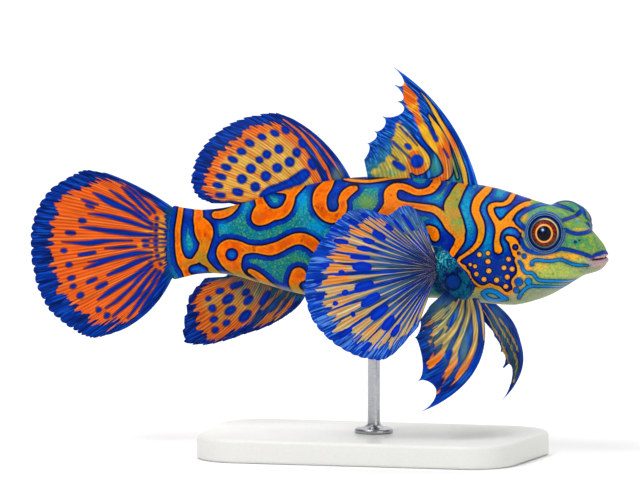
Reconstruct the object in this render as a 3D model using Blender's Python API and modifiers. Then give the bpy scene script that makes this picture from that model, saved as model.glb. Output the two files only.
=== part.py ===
"""Mandarinfish (Synchiropus splendidus), an adult male at life size, hovering on a plain display stand.

Body frame: x runs along the body from tail to snout, y across it (the fish's left is +y), z is up.
Sizes are in millimetres and are carried into the scene by place(), which also turns the head
gently to the fish's right. The origin is under the middle of the stand's base.
"""

import math

import bmesh
import bpy
import numpy as np

MM = 0.001
GAP = 0.3                  # clearance between neighbouring solids

# Body: one row for each station of the loft.
#          x      top    bottom  half width
STATIONS = np.array([
    (-25.2, 31.05, 21.75, 0.90),       # root of the tail fin
    (-23.9, 30.80, 22.10, 1.25),
    (-21.5, 30.70, 22.60, 1.75),       # narrowest part of the tail stalk
    (-18.0, 31.20, 22.55, 2.35),
    (-14.0, 32.50, 21.60, 3.20),
    (-8.4, 34.20, 20.35, 4.30),
    (-1.5, 35.35, 20.15, 5.40),
    (5.0, 35.50, 20.30, 6.00),
    (11.0, 35.10, 20.30, 6.35),        # pectoral girdle
    (16.0, 34.45, 19.90, 6.60),
    (19.5, 33.50, 19.90, 6.65),        # widest part of the cheeks
    (22.5, 32.70, 20.80, 6.30),
    (25.4, 31.90, 22.35, 5.50),        # between the eyes
    (28.0, 30.20, 23.85, 4.00),
    (29.9, 28.50, 24.50, 2.80),
    (30.7, 27.35, 25.10, 1.65),        # lips
    (31.05, 26.45, 25.95, 0.35),       # tip of the snout
])
WIDEST_AT = 0.46           # height of the greatest width, as a part of the body's depth
BACK_POWER = 2.1           # roundness of the section above and below that height: 2 is an ellipse
BELLY_POWER = 2.25
BODY_CORNERS = 28          # corners round each section
DENSE_ROWS = 600           # rows of the finer table that places on the body are read from

# Bend of the head towards the fish's right
BEND_START = 10.4
BEND_RADIUS = 85.0

# Places of the cuts between head, trunk and tail, and the number of sections in each piece
HEAD_CUT = 16.2
TRUNK_CUT = -1.5
STALK_CUT = -15.5
HEAD_SECTIONS = 24
FRONT_SECTIONS = 10
REAR_SECTIONS = 8
STALK_SECTIONS = 7

# Eyes
EYE_RADIUS = 2.4
EYE_CENTRE = (24.50, 3.70, 29.65)
EYE_AIM = (0.33, 0.93, 0.06)           # the way the left eye looks
EYE_OPENING = 2.4                      # radius of the opening that shows the eye
EYE_PROUD = 0.5                        # how far the eyeball stands out from its centre in the head
ORBIT_RADIUS = 2.95                    # the bulge of the head round each eyeball
ORBIT_LENGTH = 0.92                    # its reach along the body, as a share of its radius
ORBIT_RISE = 0.16                      # its middle stands this much above the eyeball's
ORBIT_BACK = 0.28                      # and this much behind it
ORBIT_BLEND = 0.7                      # roundness of the change from brow to orbit
SOCKET_REACH = 4.0                     # how far the socket's cutter stands out of the head
EYE_CORNERS = 16
SOCKET_CORNERS = 20

# Mouth: the line between upper and lower jaw, from the lips to the throat
JAW_LINE = ((33.5, 26.10), (29.6, 25.80), (27.2, 24.80), (25.5, 23.10), (25.1, 19.00), (33.5, 19.00))
JAW_HALF_WIDTH = 8.0
JAW_SETBACK = 0.8                      # part of the gap given along the body, where the line is steep
JAW_FROM = 24.0
JAW_SECTIONS = 14
JAW_CORNERS = 32

# Fins
FIN_THICKNESS = 0.5
BASE_LIFT = GAP + 0.05                 # from the body's skin to the foot of a fin
RIPPLE_TURN = 0.9                      # radians of the sideways ripple from one ray to the next
DORSAL_RIPPLE = 0.5
ANAL_RIPPLE = 0.4
ANAL_PHASE = 1.0
CAUDAL_HUB = (-18.75, 26.5)            # where the rays of the tail fin would meet
CAUDAL_INSET = 0.2                     # of the outer rays from the stalk's edges
CAUDAL_SWEEP = -1.2                    # how far the tail fin swings to the fish's right
CAUDAL_RIPPLE = 0.4

# Pectoral fins
PECTORAL_HUB = (10.5, 6.4, 24.9)
PECTORAL_ROOT = 1.3                    # radius of the fan's foot about its hub
PECTORAL_BILLOW = 0.4
FLESH_CENTRE = (13.0, 5.9, 24.0)       # the fleshy base of each fin
FLESH_RADII = (2.1, 1.45, 3.2)
FLESH_SLANT = 0.42                     # how far it leans forward for each millimetre down
FLESH_SEGMENTS = (16, 10)
FLANK_SPAN = (4.0, 20.0)               # stretch of the flank that the fleshy base is fitted to
FLANK_SECTIONS = 12

# Pelvic fins
PELVIC_LIFT = BASE_LIFT + 0.15         # their feet meet the belly at a slant
PELVIC_BILLOW = 0.6
PELVIC_SLIDE = 0.1

# Stand
BASE_SIZE = (42.0, 23.0, 3.0)
BASE_CORNER = 6.0
BASE_CORNER_STEPS = 6
BASE_EDGE = 0.5
ROD_AT = 0.5
ROD_RADIUS = 0.8
ROD_CORNERS = 16
CUP_RADIUS = 1.6
CUP_CHAMFER = 0.1
CUP_RIM = 0.25
CUP_DEPTH = 1.6
FOOT_RADIUS = 2.4
FOOT_CHAMFER = 0.2
FOOT_SEAT = 0.1                        # clearance between the rod's foot and the base
FOOT_RIM = 0.6
FOOT_HEIGHT = 1.4
COLLAR_RADIUS = 1.1                    # where the cup and the foot run into the rod
COLLAR_DROP = 0.9

# Shading and clean-up, in degrees and metres
SOFT_ANGLE = 40.0                      # edges flatter than this are shaded smooth
BEVEL_ANGLE = 60.0                     # edges of the base sharper than this are rounded
FLAT_ANGLE = 0.5                       # faces of the base closer to one plane than this are joined
WELD = 0.000001

SKIN = {"colour": (0.10, 0.28, 0.42, 1.0), "roughness": 0.45}
FIN_BLUE = {"colour": (0.03, 0.14, 0.50, 1.0), "roughness": 0.5}
FIN_ORANGE = {"colour": (0.85, 0.25, 0.03, 1.0), "roughness": 0.5}
CHEEK = {"colour": (0.14, 0.34, 0.12, 1.0), "roughness": 0.45}
EYE_RED = {"colour": (0.30, 0.05, 0.02, 1.0), "roughness": 0.08}
STAND_WHITE = {"colour": (0.80, 0.80, 0.78, 1.0), "roughness": 0.4}
STAND_STEEL = {"colour": (0.62, 0.63, 0.65, 1.0), "roughness": 0.25, "metallic": 1.0}


# ---------------------------------------------------------------- scene and materials

def clear_scene():
    for obj in list(bpy.data.objects):
        bpy.data.objects.remove(obj, do_unlink=True)


def new_collection(name):
    group = bpy.data.collections.new(name)
    bpy.context.scene.collection.children.link(group)
    return group


def principled(name, finish):
    """A Principled material of one colour."""
    material = bpy.data.materials.new(name)
    material.use_nodes = True
    shader = material.node_tree.nodes["Principled BSDF"]
    shader.inputs["Base Color"].default_value = finish["colour"]
    shader.inputs["Roughness"].default_value = finish["roughness"]
    shader.inputs["Metallic"].default_value = finish.get("metallic", 0.0)
    return material


def add_object(name, mesh, group, finish=None):
    obj = bpy.data.objects.new(name, mesh)
    group.objects.link(obj)
    if finish:
        mesh.materials.append(principled(name, finish))
        mesh.shade_smooth()
        mesh.set_sharp_from_angle(angle=math.radians(SOFT_ANGLE))
    else:
        obj.display_type = "WIRE"
        obj.hide_render = True
    return obj


def outward_mesh(name, points, faces):
    """A mesh from points and faces, with every face turned outwards."""
    mesh = bpy.data.meshes.new(name)
    mesh.from_pydata(points, [], faces)
    work = bmesh.new()
    work.from_mesh(mesh)
    bmesh.ops.recalc_face_normals(work, faces=work.faces)
    work.to_mesh(mesh)
    work.free()
    return mesh


def cut(obj, cutter, operation="DIFFERENCE"):
    boolean = obj.modifiers.new(cutter.name, "BOOLEAN")
    boolean.operation = operation
    boolean.solver = "EXACT"
    boolean.object = cutter


# ---------------------------------------------------------------- the bent body frame

def place(points):
    """Body frame to scene: past BEND_START the body's axis follows an arc in the level plane."""
    x, y, z = np.asarray(points, float).T
    past = np.maximum(x - BEND_START, 0.0) / BEND_RADIUS
    axis_x = np.minimum(x, BEND_START) + BEND_RADIUS * np.sin(past)
    axis_y = -BEND_RADIUS * (1.0 - np.cos(past))
    return np.column_stack((axis_x + np.sin(past) * y, axis_y + np.cos(past) * y, z)) * MM


def through(rows, steps):
    """A Catmull-Rom curve through the rows of a table, read at steps counted in rows."""
    rows = np.asarray(rows, float)
    padded = np.vstack((2 * rows[0] - rows[1], rows, 2 * rows[-1] - rows[-2]))
    steps = np.clip(np.asarray(steps, float), 0.0, len(rows) - 1.0)
    left = np.minimum(steps.astype(int), len(rows) - 2)
    t = (steps - left)[:, None]
    a, b, c, d = (padded[left + k] for k in range(4))
    return 0.5 * (2 * b + (c - a) * t + (2 * a - 5 * b + 4 * c - d) * t ** 2
                  + (3 * b - a - 3 * c + d) * t ** 3)


DENSE_STEPS = np.linspace(0.0, len(STATIONS) - 1.0, DENSE_ROWS)
DENSE = through(STATIONS, DENSE_STEPS)


def step_at(x):
    return float(np.interp(x, DENSE[:, 0], DENSE_STEPS))


def top_at(x):
    return np.interp(x, DENSE[:, 0], DENSE[:, 1])


def bottom_at(x):
    return np.interp(x, DENSE[:, 0], DENSE[:, 2])


def underside_at(x, y):
    """Height of the belly's skin at a place off the middle line."""
    half = np.interp(x, DENSE[:, 0], DENSE[:, 3])
    bottom = bottom_at(x)
    middle = bottom + WIDEST_AT * (top_at(x) - bottom)
    share = 1.0 - np.clip(abs(y) / half, 0.0, 1.0) ** BELLY_POWER
    return middle - (middle - bottom) * share ** (1.0 / BELLY_POWER)


def ring(x, top, bottom, half, angles, grow):
    """One section of the body in polar form, swollen over the eyeballs.

    The radius is that of a superellipse with its own power above and below the greatest width.
    Over the eyes it blends into the circle in which the section cuts the ellipsoid of the orbit.
    """
    middle = bottom + WIDEST_AT * (top - bottom)
    across, up = np.cos(angles), np.sin(angles)
    tall = np.where(up > 0.0, top - middle, middle - bottom) + grow
    power = np.where(up > 0.0, BACK_POWER, BELLY_POWER)
    wide = half + grow
    radius = ((abs(across) / wide) ** power + (abs(up) / tall) ** power) ** (-1.0 / power)
    cut_square = ORBIT_RADIUS ** 2 - ((x - EYE_CENTRE[0] + ORBIT_BACK) / ORBIT_LENGTH) ** 2
    if cut_square > 0.0:
        blend = ORBIT_BLEND ** 2 * cut_square / ORBIT_RADIUS ** 2
        for side in (-1.0, 1.0):
            eye_y, eye_z = side * EYE_CENTRE[1], EYE_CENTRE[2] + ORBIT_RISE - middle
            along = across * eye_y + up * eye_z
            inside = cut_square - (eye_y ** 2 + eye_z ** 2 - along ** 2)
            orbit = np.where(inside > 0.0, along + np.sqrt(np.maximum(inside, 0.0)), 0.0)
            radius = 0.5 * (radius + orbit + np.sqrt((radius - orbit) ** 2 + blend))
    return np.column_stack((np.full_like(angles, x), radius * across, middle + radius * up))


def body_piece(name, x_from, x_to, sections, around, grow=0.0):
    """A closed loft of the body between two places along it."""
    steps = np.linspace(step_at(x_from), step_at(x_to), sections)
    angles = np.linspace(0.0, 2.0 * math.pi, around, endpoint=False) + math.pi / around
    rings = [ring(*row, angles, grow) for row in through(STATIONS, steps)]
    points = place(np.vstack(rings))
    faces = [list(range(around))[::-1]]
    for s in range(sections - 1):
        for k in range(around):
            following = (k + 1) % around
            faces.append((s * around + k, s * around + following,
                          (s + 1) * around + following, (s + 1) * around + k))
    faces.append([(sections - 1) * around + k for k in range(around)])
    return outward_mesh(name, points.tolist(), faces)


# ---------------------------------------------------------------- head, trunk and tail

def ball(name, centre, radius, aim, segments, reach=0.0):
    """A sphere about an eye's axis, a little out from the orbit's centre.

    Reach draws its cap out along the axis, for a cutter.
    """
    work = bmesh.new()
    bmesh.ops.create_uvsphere(work, u_segments=segments, v_segments=segments // 2, radius=radius)
    aim = np.array(aim) / np.linalg.norm(aim)
    side = np.cross(aim, (0.0, 0.0, 1.0))
    side /= np.linalg.norm(side)
    over = np.cross(aim, side)
    local = np.array([tuple(v.co) for v in work.verts])
    rim = math.sqrt(max(radius ** 2 - EYE_OPENING ** 2, 0.0))
    local[:, 2] += np.where(local[:, 2] > rim, reach, 0.0)
    local[:, 2] += EYE_PROUD
    points = place(np.array(centre) + local @ np.array((side, over, aim)))
    for vertex, point in zip(work.verts, points):
        vertex.co = point
    mesh = bpy.data.meshes.new(name)
    work.to_mesh(mesh)
    work.free()
    return mesh


def jaw_block(name, shift):
    """The space of the lower jaw: the jaw line's outline carried across the head."""
    outline = [(x + JAW_SETBACK * shift, z - shift) for x, z in JAW_LINE]
    count = len(outline)
    points = [(x, side * JAW_HALF_WIDTH, z) for side in (-1.0, 1.0) for x, z in outline]
    faces = [list(range(count)), [count + k for k in range(count)][::-1]]
    for k in range(count):
        following = (k + 1) % count
        faces.append((k, count + k, count + following, following))
    return outward_mesh(name, place(points).tolist(), faces)


def build_body(parts, cutters):
    tip = STATIONS[-1, 0]
    mesh = body_piece("head", HEAD_CUT + GAP / 2, tip, HEAD_SECTIONS, BODY_CORNERS)
    head = add_object("head", mesh, parts, CHEEK)
    mesh = body_piece("lower_jaw", JAW_FROM, tip, JAW_SECTIONS, JAW_CORNERS)
    jaw = add_object("lower_jaw", mesh, parts, CHEEK)
    cut(head, add_object("jaw_space", jaw_block("jaw_space", 0.0), cutters))
    cut(jaw, add_object("jaw_limits", jaw_block("jaw_limits", GAP), cutters), "INTERSECT")
    for side, word in ((-1.0, "right"), (1.0, "left")):
        centre = (EYE_CENTRE[0], side * EYE_CENTRE[1], EYE_CENTRE[2])
        aim = (EYE_AIM[0], side * EYE_AIM[1], EYE_AIM[2])
        socket = ball("socket_" + word, centre, EYE_RADIUS + GAP, aim, SOCKET_CORNERS, SOCKET_REACH)
        cut(head, add_object("socket_" + word, socket, cutters))
        mesh = ball("eye_" + word, centre, EYE_RADIUS, aim, EYE_CORNERS)
        add_object("eye_" + word, mesh, parts, EYE_RED)
    spans = (("trunk_front", TRUNK_CUT, HEAD_CUT, FRONT_SECTIONS),
             ("trunk_rear", STALK_CUT, TRUNK_CUT, REAR_SECTIONS),
             ("tail_stalk", STATIONS[0, 0] - GAP / 2, STALK_CUT, STALK_SECTIONS))
    for name, x_from, x_to, sections in spans:
        mesh = body_piece(name, x_from + GAP / 2, x_to - GAP / 2, sections, BODY_CORNERS)
        add_object(name, mesh, parts, SKIN)


# ---------------------------------------------------------------- fins

def fan(name, group, finish, roots, tips, bows, notches, columns=3, rows=5, billow=0.0, slide=0.0):
    """A fin: a sheet over curved rays, thickened.

    Between neighbouring rays the roots, tips and bows follow smooth curves. Along a ray the sheet
    follows a parabola whose sagitta is the bow, in the upright plane, and whose fullest place moves
    by the slide towards the tip. The margin draws back by its notch halfway between two rays, and
    billow pushes the sheet sideways between root and tip.
    """
    count = len(roots)
    steps = np.linspace(0.0, count - 1.0, (count - 1) * columns + 1)
    root, tip = through(roots, steps), through(tips, steps)
    bow = through(np.asarray(bows, float)[:, None], steps)
    notch = np.broadcast_to(notches, count - 1)[np.minimum(steps.astype(int), count - 2)]
    reach = 1.0 - notch * np.sqrt(abs(np.sin(math.pi * steps)))
    chord = tip - root
    length = np.hypot(chord[:, 0], chord[:, 2])
    normal = np.column_stack((chord[:, 2], np.zeros_like(length), -chord[:, 0])) / length[:, None]
    grid = []
    for v in np.linspace(0.0, 1.0, rows + 1):
        t = (v * reach)[:, None]
        sheet = root + chord * t + (normal * bow * 2.0 + chord * slide) * 2.0 * t * (1.0 - t)
        sheet[:, 1] += billow * math.sin(math.pi * v)
        grid.append(sheet)
    points = place(np.vstack(grid))
    wide = len(steps)
    faces = [(r * wide + k, r * wide + k + 1, (r + 1) * wide + k + 1, (r + 1) * wide + k)
             for r in range(rows) for k in range(wide - 1)]
    mesh = bpy.data.meshes.new(name)
    mesh.from_pydata(points.tolist(), [], faces)
    obj = add_object(name, mesh, group, finish)
    thick = obj.modifiers.new("thickness", "SOLIDIFY")
    thick.thickness = FIN_THICKNESS * MM
    thick.offset = 0.0
    return obj


def build_first_dorsal(group):
    """Seven spines that curve back from the nape; the first is the longest."""
    root_x = (13.9, 12.0, 10.1, 7.8, 5.4, 3.0, -0.4)
    tips = ((2.6, 49.5), (3.0, 47.1), (3.4, 45.1), (1.5, 43.1), (0.5, 41.2), (-0.4, 39.7), (-0.8, 37.6))
    lean = (0.9, 0.8, 0.6, 0.4, 0.3, 0.2, 0.1)
    bows = (1.8, 1.9, 1.9, 1.4, 1.0, 0.6, 0.0)
    notches = (0.09, 0.06, 0.12, 0.09, 0.09, 0.12)
    roots = [(x, 0.0, top_at(x) + BASE_LIFT) for x in root_x]
    ends = [(x, y, z) for (x, z), y in zip(tips, lean)]
    fan("first_dorsal_fin", group, FIN_ORANGE, roots, ends, bows, notches, columns=4, rows=6)


def build_second_dorsal(group):
    """A tall rounded fin whose rays lean back over the tail stalk."""
    root_x = (-2.7, -4.4, -6.3, -8.4, -10.6, -12.8, -15.0, -16.8, -17.9)
    tips = ((-10.1, 42.5), (-12.4, 43.2), (-15.6, 42.7), (-18.4, 41.6), (-21.0, 39.5),
            (-22.6, 36.8), (-23.1, 34.0), (-22.2, 32.2), (-20.6, 31.5))
    bows = (0.8, 0.9, 0.9, 0.8, 0.6, 0.4, 0.1, 0.0, 0.0)
    roots = [(x, 0.0, top_at(x) + BASE_LIFT) for x in root_x]
    ends = [(x, DORSAL_RIPPLE * math.sin(RIPPLE_TURN * k), z) for k, (x, z) in enumerate(tips)]
    fan("second_dorsal_fin", group, FIN_ORANGE, roots, ends, bows, notches=0.02)


def build_anal(group):
    """The fin under the tail stalk, rounded and swept back."""
    root_x = (-8.4, -9.9, -11.4, -12.9, -14.3, -15.6, -16.8, -17.8, -18.6)
    tips = ((-10.5, 17.8), (-13.4, 16.0), (-16.5, 14.9), (-19.1, 14.0), (-21.7, 13.5),
            (-24.1, 14.0), (-24.0, 17.2), (-23.4, 19.8), (-21.4, 22.0))
    bows = (-0.2, -0.4, -0.6, -0.7, -0.8, -0.7, -0.4, -0.2, 0.0)
    roots = [(x, 0.0, bottom_at(x) - BASE_LIFT) for x in root_x]
    ends = [(x, ANAL_RIPPLE * math.sin(RIPPLE_TURN * k + ANAL_PHASE), z)
            for k, (x, z) in enumerate(tips)]
    fan("anal_fin", group, FIN_ORANGE, roots, ends, bows, notches=0.02)


def build_caudal(group):
    """The tail fin: rays that spread from the end of the stalk into a broad round fan."""
    reach = ((29.8, 17.2), (26.6, 19.9), (22.5, 21.3), (15.3, 23.4), (7.4, 24.5), (0.0, 24.8),
             (-8.0, 24.8), (-16.0, 24.7), (-23.0, 24.1), (-29.8, 22.7), (-34.0, 21.7),
             (-37.2, 20.3), (-41.0, 17.0))
    bows = (0.35, 0.15, 0.05, 0.0, 0.0, 0.0, 0.0, 0.0, 0.0, -0.1, -0.2, -0.4, -0.8)
    root_x = STATIONS[0, 0] - BASE_LIFT
    heights = np.linspace(STATIONS[0, 1] - CAUDAL_INSET, STATIONS[0, 2] + CAUDAL_INSET, len(reach))
    roots = [(root_x, 0.0, z) for z in heights]
    ends = []
    for k, (turn, length) in enumerate(reach):
        turn = math.radians(turn)
        sweep = CAUDAL_SWEEP + CAUDAL_RIPPLE * math.sin(RIPPLE_TURN * k)
        ends.append((CAUDAL_HUB[0] - length * math.cos(turn), sweep,
                     CAUDAL_HUB[1] + length * math.sin(turn)))
    fan("caudal_fin", group, FIN_ORANGE, roots, ends, bows, notches=0.015, columns=2)


def pectoral_rays(side, reach, flare):
    """Roots and tips of a fan of rays that spread back from the pectoral base and away from the flank.

    Reach holds each ray's turn above level, in degrees, and its length from the hub. Flare holds how
    far the ray leads away from the flank for each millimetre of its length.
    """
    hub = PECTORAL_HUB
    roots, ends = [], []
    for (turn, length), slope in zip(reach, flare):
        turn = math.radians(turn)
        for radius, row in ((PECTORAL_ROOT, roots), (length, ends)):
            row.append((hub[0] - radius * math.cos(turn),
                        side * (hub[1] + slope * radius),
                        hub[2] + radius * math.sin(turn)))
    return roots, ends


def build_pectorals(group, cutters):
    """A fleshy base on each flank, with the open fan on the right and a half-closed one on the left."""
    right = ((75, 5.4), (69, 8.4), (60, 9.2), (48, 9.3), (41, 11.9), (33, 13.3), (20, 14.2), (5, 15.6),
             (-10, 16.5), (-25, 16.4), (-40, 15.3), (-53, 14.0), (-63, 12.3), (-73, 7.6))
    left = ((38, 11.0), (33, 12.8), (26, 13.9), (17, 14.8), (8, 15.4), (-1, 15.8), (-10, 15.8),
            (-18, 15.2), (-25, 13.8), (-31, 11.6))
    right_flare = [0.22] * 3 + [0.27] + [0.33] * 10
    left_flare = [0.30] * len(left)
    roots, ends = pectoral_rays(-1.0, right, right_flare)
    fan("pectoral_fin_right", group, FIN_BLUE, roots, ends, [0.0] * len(right), notches=0.01,
        columns=2, billow=-PECTORAL_BILLOW)
    roots, ends = pectoral_rays(1.0, left, left_flare)
    fan("pectoral_fin_left", group, FIN_BLUE, roots, ends, [0.0] * len(left), notches=0.01,
        columns=2, billow=PECTORAL_BILLOW)
    mesh = body_piece("flank_clearance", *FLANK_SPAN, FLANK_SECTIONS, BODY_CORNERS, grow=GAP)
    clearance = add_object("flank_clearance", mesh, cutters)
    for side, word in ((-1.0, "right"), (1.0, "left")):
        work = bmesh.new()
        around, down = FLESH_SEGMENTS
        bmesh.ops.create_uvsphere(work, u_segments=around, v_segments=down, radius=1.0)
        local = np.array([tuple(v.co) for v in work.verts]) * np.array(FLESH_RADII)
        local[:, 0] -= FLESH_SLANT * local[:, 2]
        points = place(np.array(FLESH_CENTRE) * (1.0, side, 1.0) + local)
        for vertex, point in zip(work.verts, points):
            vertex.co = point
        mesh = bpy.data.meshes.new("pectoral_base_" + word)
        work.to_mesh(mesh)
        work.free()
        base = add_object("pectoral_base_" + word, mesh, group, SKIN)
        cut(base, clearance)


def build_pelvics(group):
    """The pelvic fins: five branched rays each, spread down and out from under the throat."""
    right_root = ((15.3, -3.4), (14.0, -3.8), (12.6, -4.1), (11.4, -4.3), (10.6, -4.4))
    right_tip = ((8.2, -8.0, 6.7), (8.0, -8.0, 10.7), (7.5, -7.5, 16.1), (7.9, -6.7, 18.2),
                 (9.1, -5.8, 19.9))
    right_bow = (-3.9, -2.5, -1.0, -0.4, 0.1)
    right_notch = (0.12, 0.06, 0.08, 0.05)
    left_root = ((13.0, 3.4), (12.5, 3.8), (11.9, 4.1), (11.3, 4.3), (10.6, 4.4))
    left_tip = ((15.2, 6.1, 6.6), (14.8, 8.6, 10.6), (14.1, 10.6, 12.35), (13.3, 11.0, 14.2),
                (12.6, 9.2, 16.3))
    left_bow = (-3.8, -3.0, -1.4, -0.5, 0.1)
    left_notch = (0.14, 0.05, 0.04, 0.04)
    sides = (("right", right_root, right_tip, right_bow, right_notch, -1.0),
             ("left", left_root, left_tip, left_bow, left_notch, 1.0))
    for word, root, tip, bow, notches, side in sides:
        feet = [(x, y, underside_at(x, y) - PELVIC_LIFT) for x, y in root]
        fan("pelvic_fin_" + word, group, FIN_BLUE, feet, tip, bow, notches, columns=5, rows=6,
            billow=side * PELVIC_BILLOW, slide=side * PELVIC_SLIDE)


# ---------------------------------------------------------------- stand

def build_stand(group):
    """A flat base with rounded corners, and a turned rod with a foot and a small cup for the belly."""
    length, depth, height = BASE_SIZE
    curve = bpy.data.curves.new("stand_outline", "CURVE")
    curve.dimensions = "2D"
    curve.fill_mode = "BOTH"
    curve.extrude = height * MM / 2
    spline = curve.splines.new("POLY")
    outline = []
    for quarter in range(4):
        middle_x = (length / 2 - BASE_CORNER) * (1 if quarter in (0, 3) else -1)
        middle_y = (depth / 2 - BASE_CORNER) * (1 if quarter in (0, 1) else -1)
        for step in range(BASE_CORNER_STEPS + 1):
            turn = 0.5 * math.pi * (quarter + step / BASE_CORNER_STEPS)
            outline.append((middle_x + BASE_CORNER * math.cos(turn),
                            middle_y + BASE_CORNER * math.sin(turn)))
    spline.points.add(len(outline) - 1)
    for point, (x, y) in zip(spline.points, outline):
        point.co = (x * MM, y * MM, 0.0, 1.0)
    spline.use_cyclic_u = True
    flat = bpy.data.objects.new("stand_outline", curve)
    group.objects.link(flat)
    mesh = bpy.data.meshes.new_from_object(flat.evaluated_get(bpy.context.evaluated_depsgraph_get()))
    bpy.data.objects.remove(flat, do_unlink=True)
    work = bmesh.new()
    work.from_mesh(mesh)
    bmesh.ops.remove_doubles(work, verts=work.verts, dist=WELD)
    bmesh.ops.dissolve_limit(work, angle_limit=math.radians(FLAT_ANGLE), verts=work.verts, edges=work.edges)
    bmesh.ops.translate(work, verts=work.verts, vec=(0.0, 0.0, height * MM / 2))
    bmesh.ops.recalc_face_normals(work, faces=work.faces)
    work.to_mesh(mesh)
    work.free()
    mesh.name = "stand_base"
    base = add_object("stand_base", mesh, group, STAND_WHITE)
    bevel = base.modifiers.new("edge", "BEVEL")
    bevel.width = BASE_EDGE * MM
    bevel.segments = 2
    bevel.limit_method = "ANGLE"
    bevel.angle_limit = math.radians(BEVEL_ANGLE)

    top = float(bottom_at(ROD_AT)) - GAP
    foot = height + FOOT_SEAT
    outline = ((0.0, top), (CUP_RADIUS - CUP_CHAMFER, top), (CUP_RADIUS, top - CUP_RIM),
               (COLLAR_RADIUS, top - COLLAR_DROP), (ROD_RADIUS, top - CUP_DEPTH),
               (ROD_RADIUS, foot + FOOT_HEIGHT), (COLLAR_RADIUS, foot + COLLAR_DROP),
               (FOOT_RADIUS - FOOT_CHAMFER, foot + FOOT_RIM), (FOOT_RADIUS, foot), (0.0, foot))
    work = bmesh.new()
    corners = [work.verts.new((x * MM, 0.0, z * MM)) for x, z in outline]
    for first, second in zip(corners, corners[1:]):
        work.edges.new((first, second))
    mesh = bpy.data.meshes.new("stand_rod")
    work.to_mesh(mesh)
    work.free()
    rod = add_object("stand_rod", mesh, group, STAND_STEEL)
    rod.location = (ROD_AT * MM, 0.0, 0.0)
    screw = rod.modifiers.new("turned", "SCREW")
    screw.axis = "Z"
    screw.steps = ROD_CORNERS
    screw.render_steps = ROD_CORNERS
    screw.use_merge_vertices = True
    screw.merge_threshold = 10 * WELD


def main():
    clear_scene()
    parts = new_collection("mandarinfish")
    cutters = new_collection("cutters")
    build_body(parts, cutters)
    build_first_dorsal(parts)
    build_second_dorsal(parts)
    build_anal(parts)
    build_caudal(parts)
    build_pectorals(parts, cutters)
    build_pelvics(parts)
    build_stand(parts)


main()
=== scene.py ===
"""Mandarinfish at life size: painted skin, fins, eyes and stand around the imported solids.

Shapes are worked out in the body frame of the solids, in millimetres: x along the body from tail to
snout, y to the fish's left, z up. place() turns the head to the right and gives metres.
Markings are laid out on an upright pattern sheet beside the right flank; on_sheet() finds where a
point falls on it, and the left flank takes the same sheet mirrored and gently shifted.
"""
import math
from collections import namedtuple

import bpy
import numpy as np
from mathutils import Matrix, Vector

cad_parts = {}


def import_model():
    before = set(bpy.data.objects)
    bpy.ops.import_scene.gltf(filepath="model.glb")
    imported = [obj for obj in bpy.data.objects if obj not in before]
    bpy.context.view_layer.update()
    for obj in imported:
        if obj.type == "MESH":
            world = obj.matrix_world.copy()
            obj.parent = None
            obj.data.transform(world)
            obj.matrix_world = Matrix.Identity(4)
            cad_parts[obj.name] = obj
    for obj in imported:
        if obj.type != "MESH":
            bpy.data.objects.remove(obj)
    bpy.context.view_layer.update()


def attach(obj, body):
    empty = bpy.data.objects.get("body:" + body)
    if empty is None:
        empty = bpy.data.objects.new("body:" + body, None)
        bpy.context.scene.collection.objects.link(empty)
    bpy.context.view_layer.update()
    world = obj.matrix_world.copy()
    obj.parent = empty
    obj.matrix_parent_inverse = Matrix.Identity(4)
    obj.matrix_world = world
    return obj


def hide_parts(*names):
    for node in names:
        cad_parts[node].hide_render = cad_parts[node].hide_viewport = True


MM = 0.001

# ---------------------------------------------------------------- sizes shared with the solids, mm

#    x      top    bottom  half width
STATIONS = np.array([
    (-25.2, 31.05, 21.75, 0.90), (-23.9, 30.80, 22.10, 1.25), (-21.5, 30.70, 22.60, 1.75),
    (-18.0, 31.20, 22.55, 2.35), (-14.0, 32.50, 21.60, 3.20), (-8.4, 34.20, 20.35, 4.30),
    (-1.5, 35.35, 20.15, 5.40), (5.0, 35.50, 20.30, 6.00), (11.0, 35.10, 20.30, 6.35),
    (16.0, 34.45, 19.90, 6.60), (19.5, 33.50, 19.90, 6.65), (22.5, 32.70, 20.80, 6.30),
    (25.4, 31.90, 22.35, 5.50), (28.0, 30.20, 23.85, 4.00), (29.9, 28.50, 24.50, 2.80),
    (30.7, 27.35, 25.10, 1.65), (31.05, 26.45, 25.95, 0.35),
])
WIDEST_AT = 0.46
BACK_POWER = 2.1
BELLY_POWER = 2.25
BEND_START = 10.4
BEND_RADIUS = 85.0
EYE_RADIUS = 2.4
EYE_CENTRE = (24.50, 3.70, 29.65)
EYE_AIM = (0.33, 0.93, 0.06)
EYE_PROUD = 0.5
ORBIT_RADIUS = 2.95
ORBIT_LENGTH = 0.92        # the orbit's reach along the body, as a share of its radius
ORBIT_RISE = 0.16          # the orbit's middle stands this much above the eyeball's
ORBIT_BACK = 0.28          # and this much behind it
ORBIT_BLEND = 0.7
RIM_BLEND = (2.38, 2.80)   # the skin leaves the rim's shape between these distances from the eye's axis
CORNEA_RISE = 0.14
CORNEA_WIDTH = 1.25
NO_EYE = 9.0               # stands for the distance from an eye's axis where no eye is near
BASE_LIFT = 0.35
RIPPLE_TURN = 0.9
CAUDAL_HUB = (-18.75, 26.5)
PECTORAL_HUB = (10.5, 6.4, 24.9)
PECTORAL_ROOT = 1.3
FLESH_CENTRE = (12.4, 5.9, 24.0)
FLESH_RADII = (2.4, 1.45, 3.2)
FLESH_SLANT = 0.42         # how far the lobe leans forward for each millimetre down
FLESH_BLEND = 0.45
SNOUT_LEAD = 0.04          # the skin closes this far ahead of its last section
MEMBRANE = 0.055           # half thickness of a fin between its rays
RAY_WIDTH = 0.16           # half widths of a ray and of a fine ray, as shares of their gaps
FINE_WIDTH = 0.25
FINE_SHARE = 0.45          # height of a fine ray for that of a ray
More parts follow.
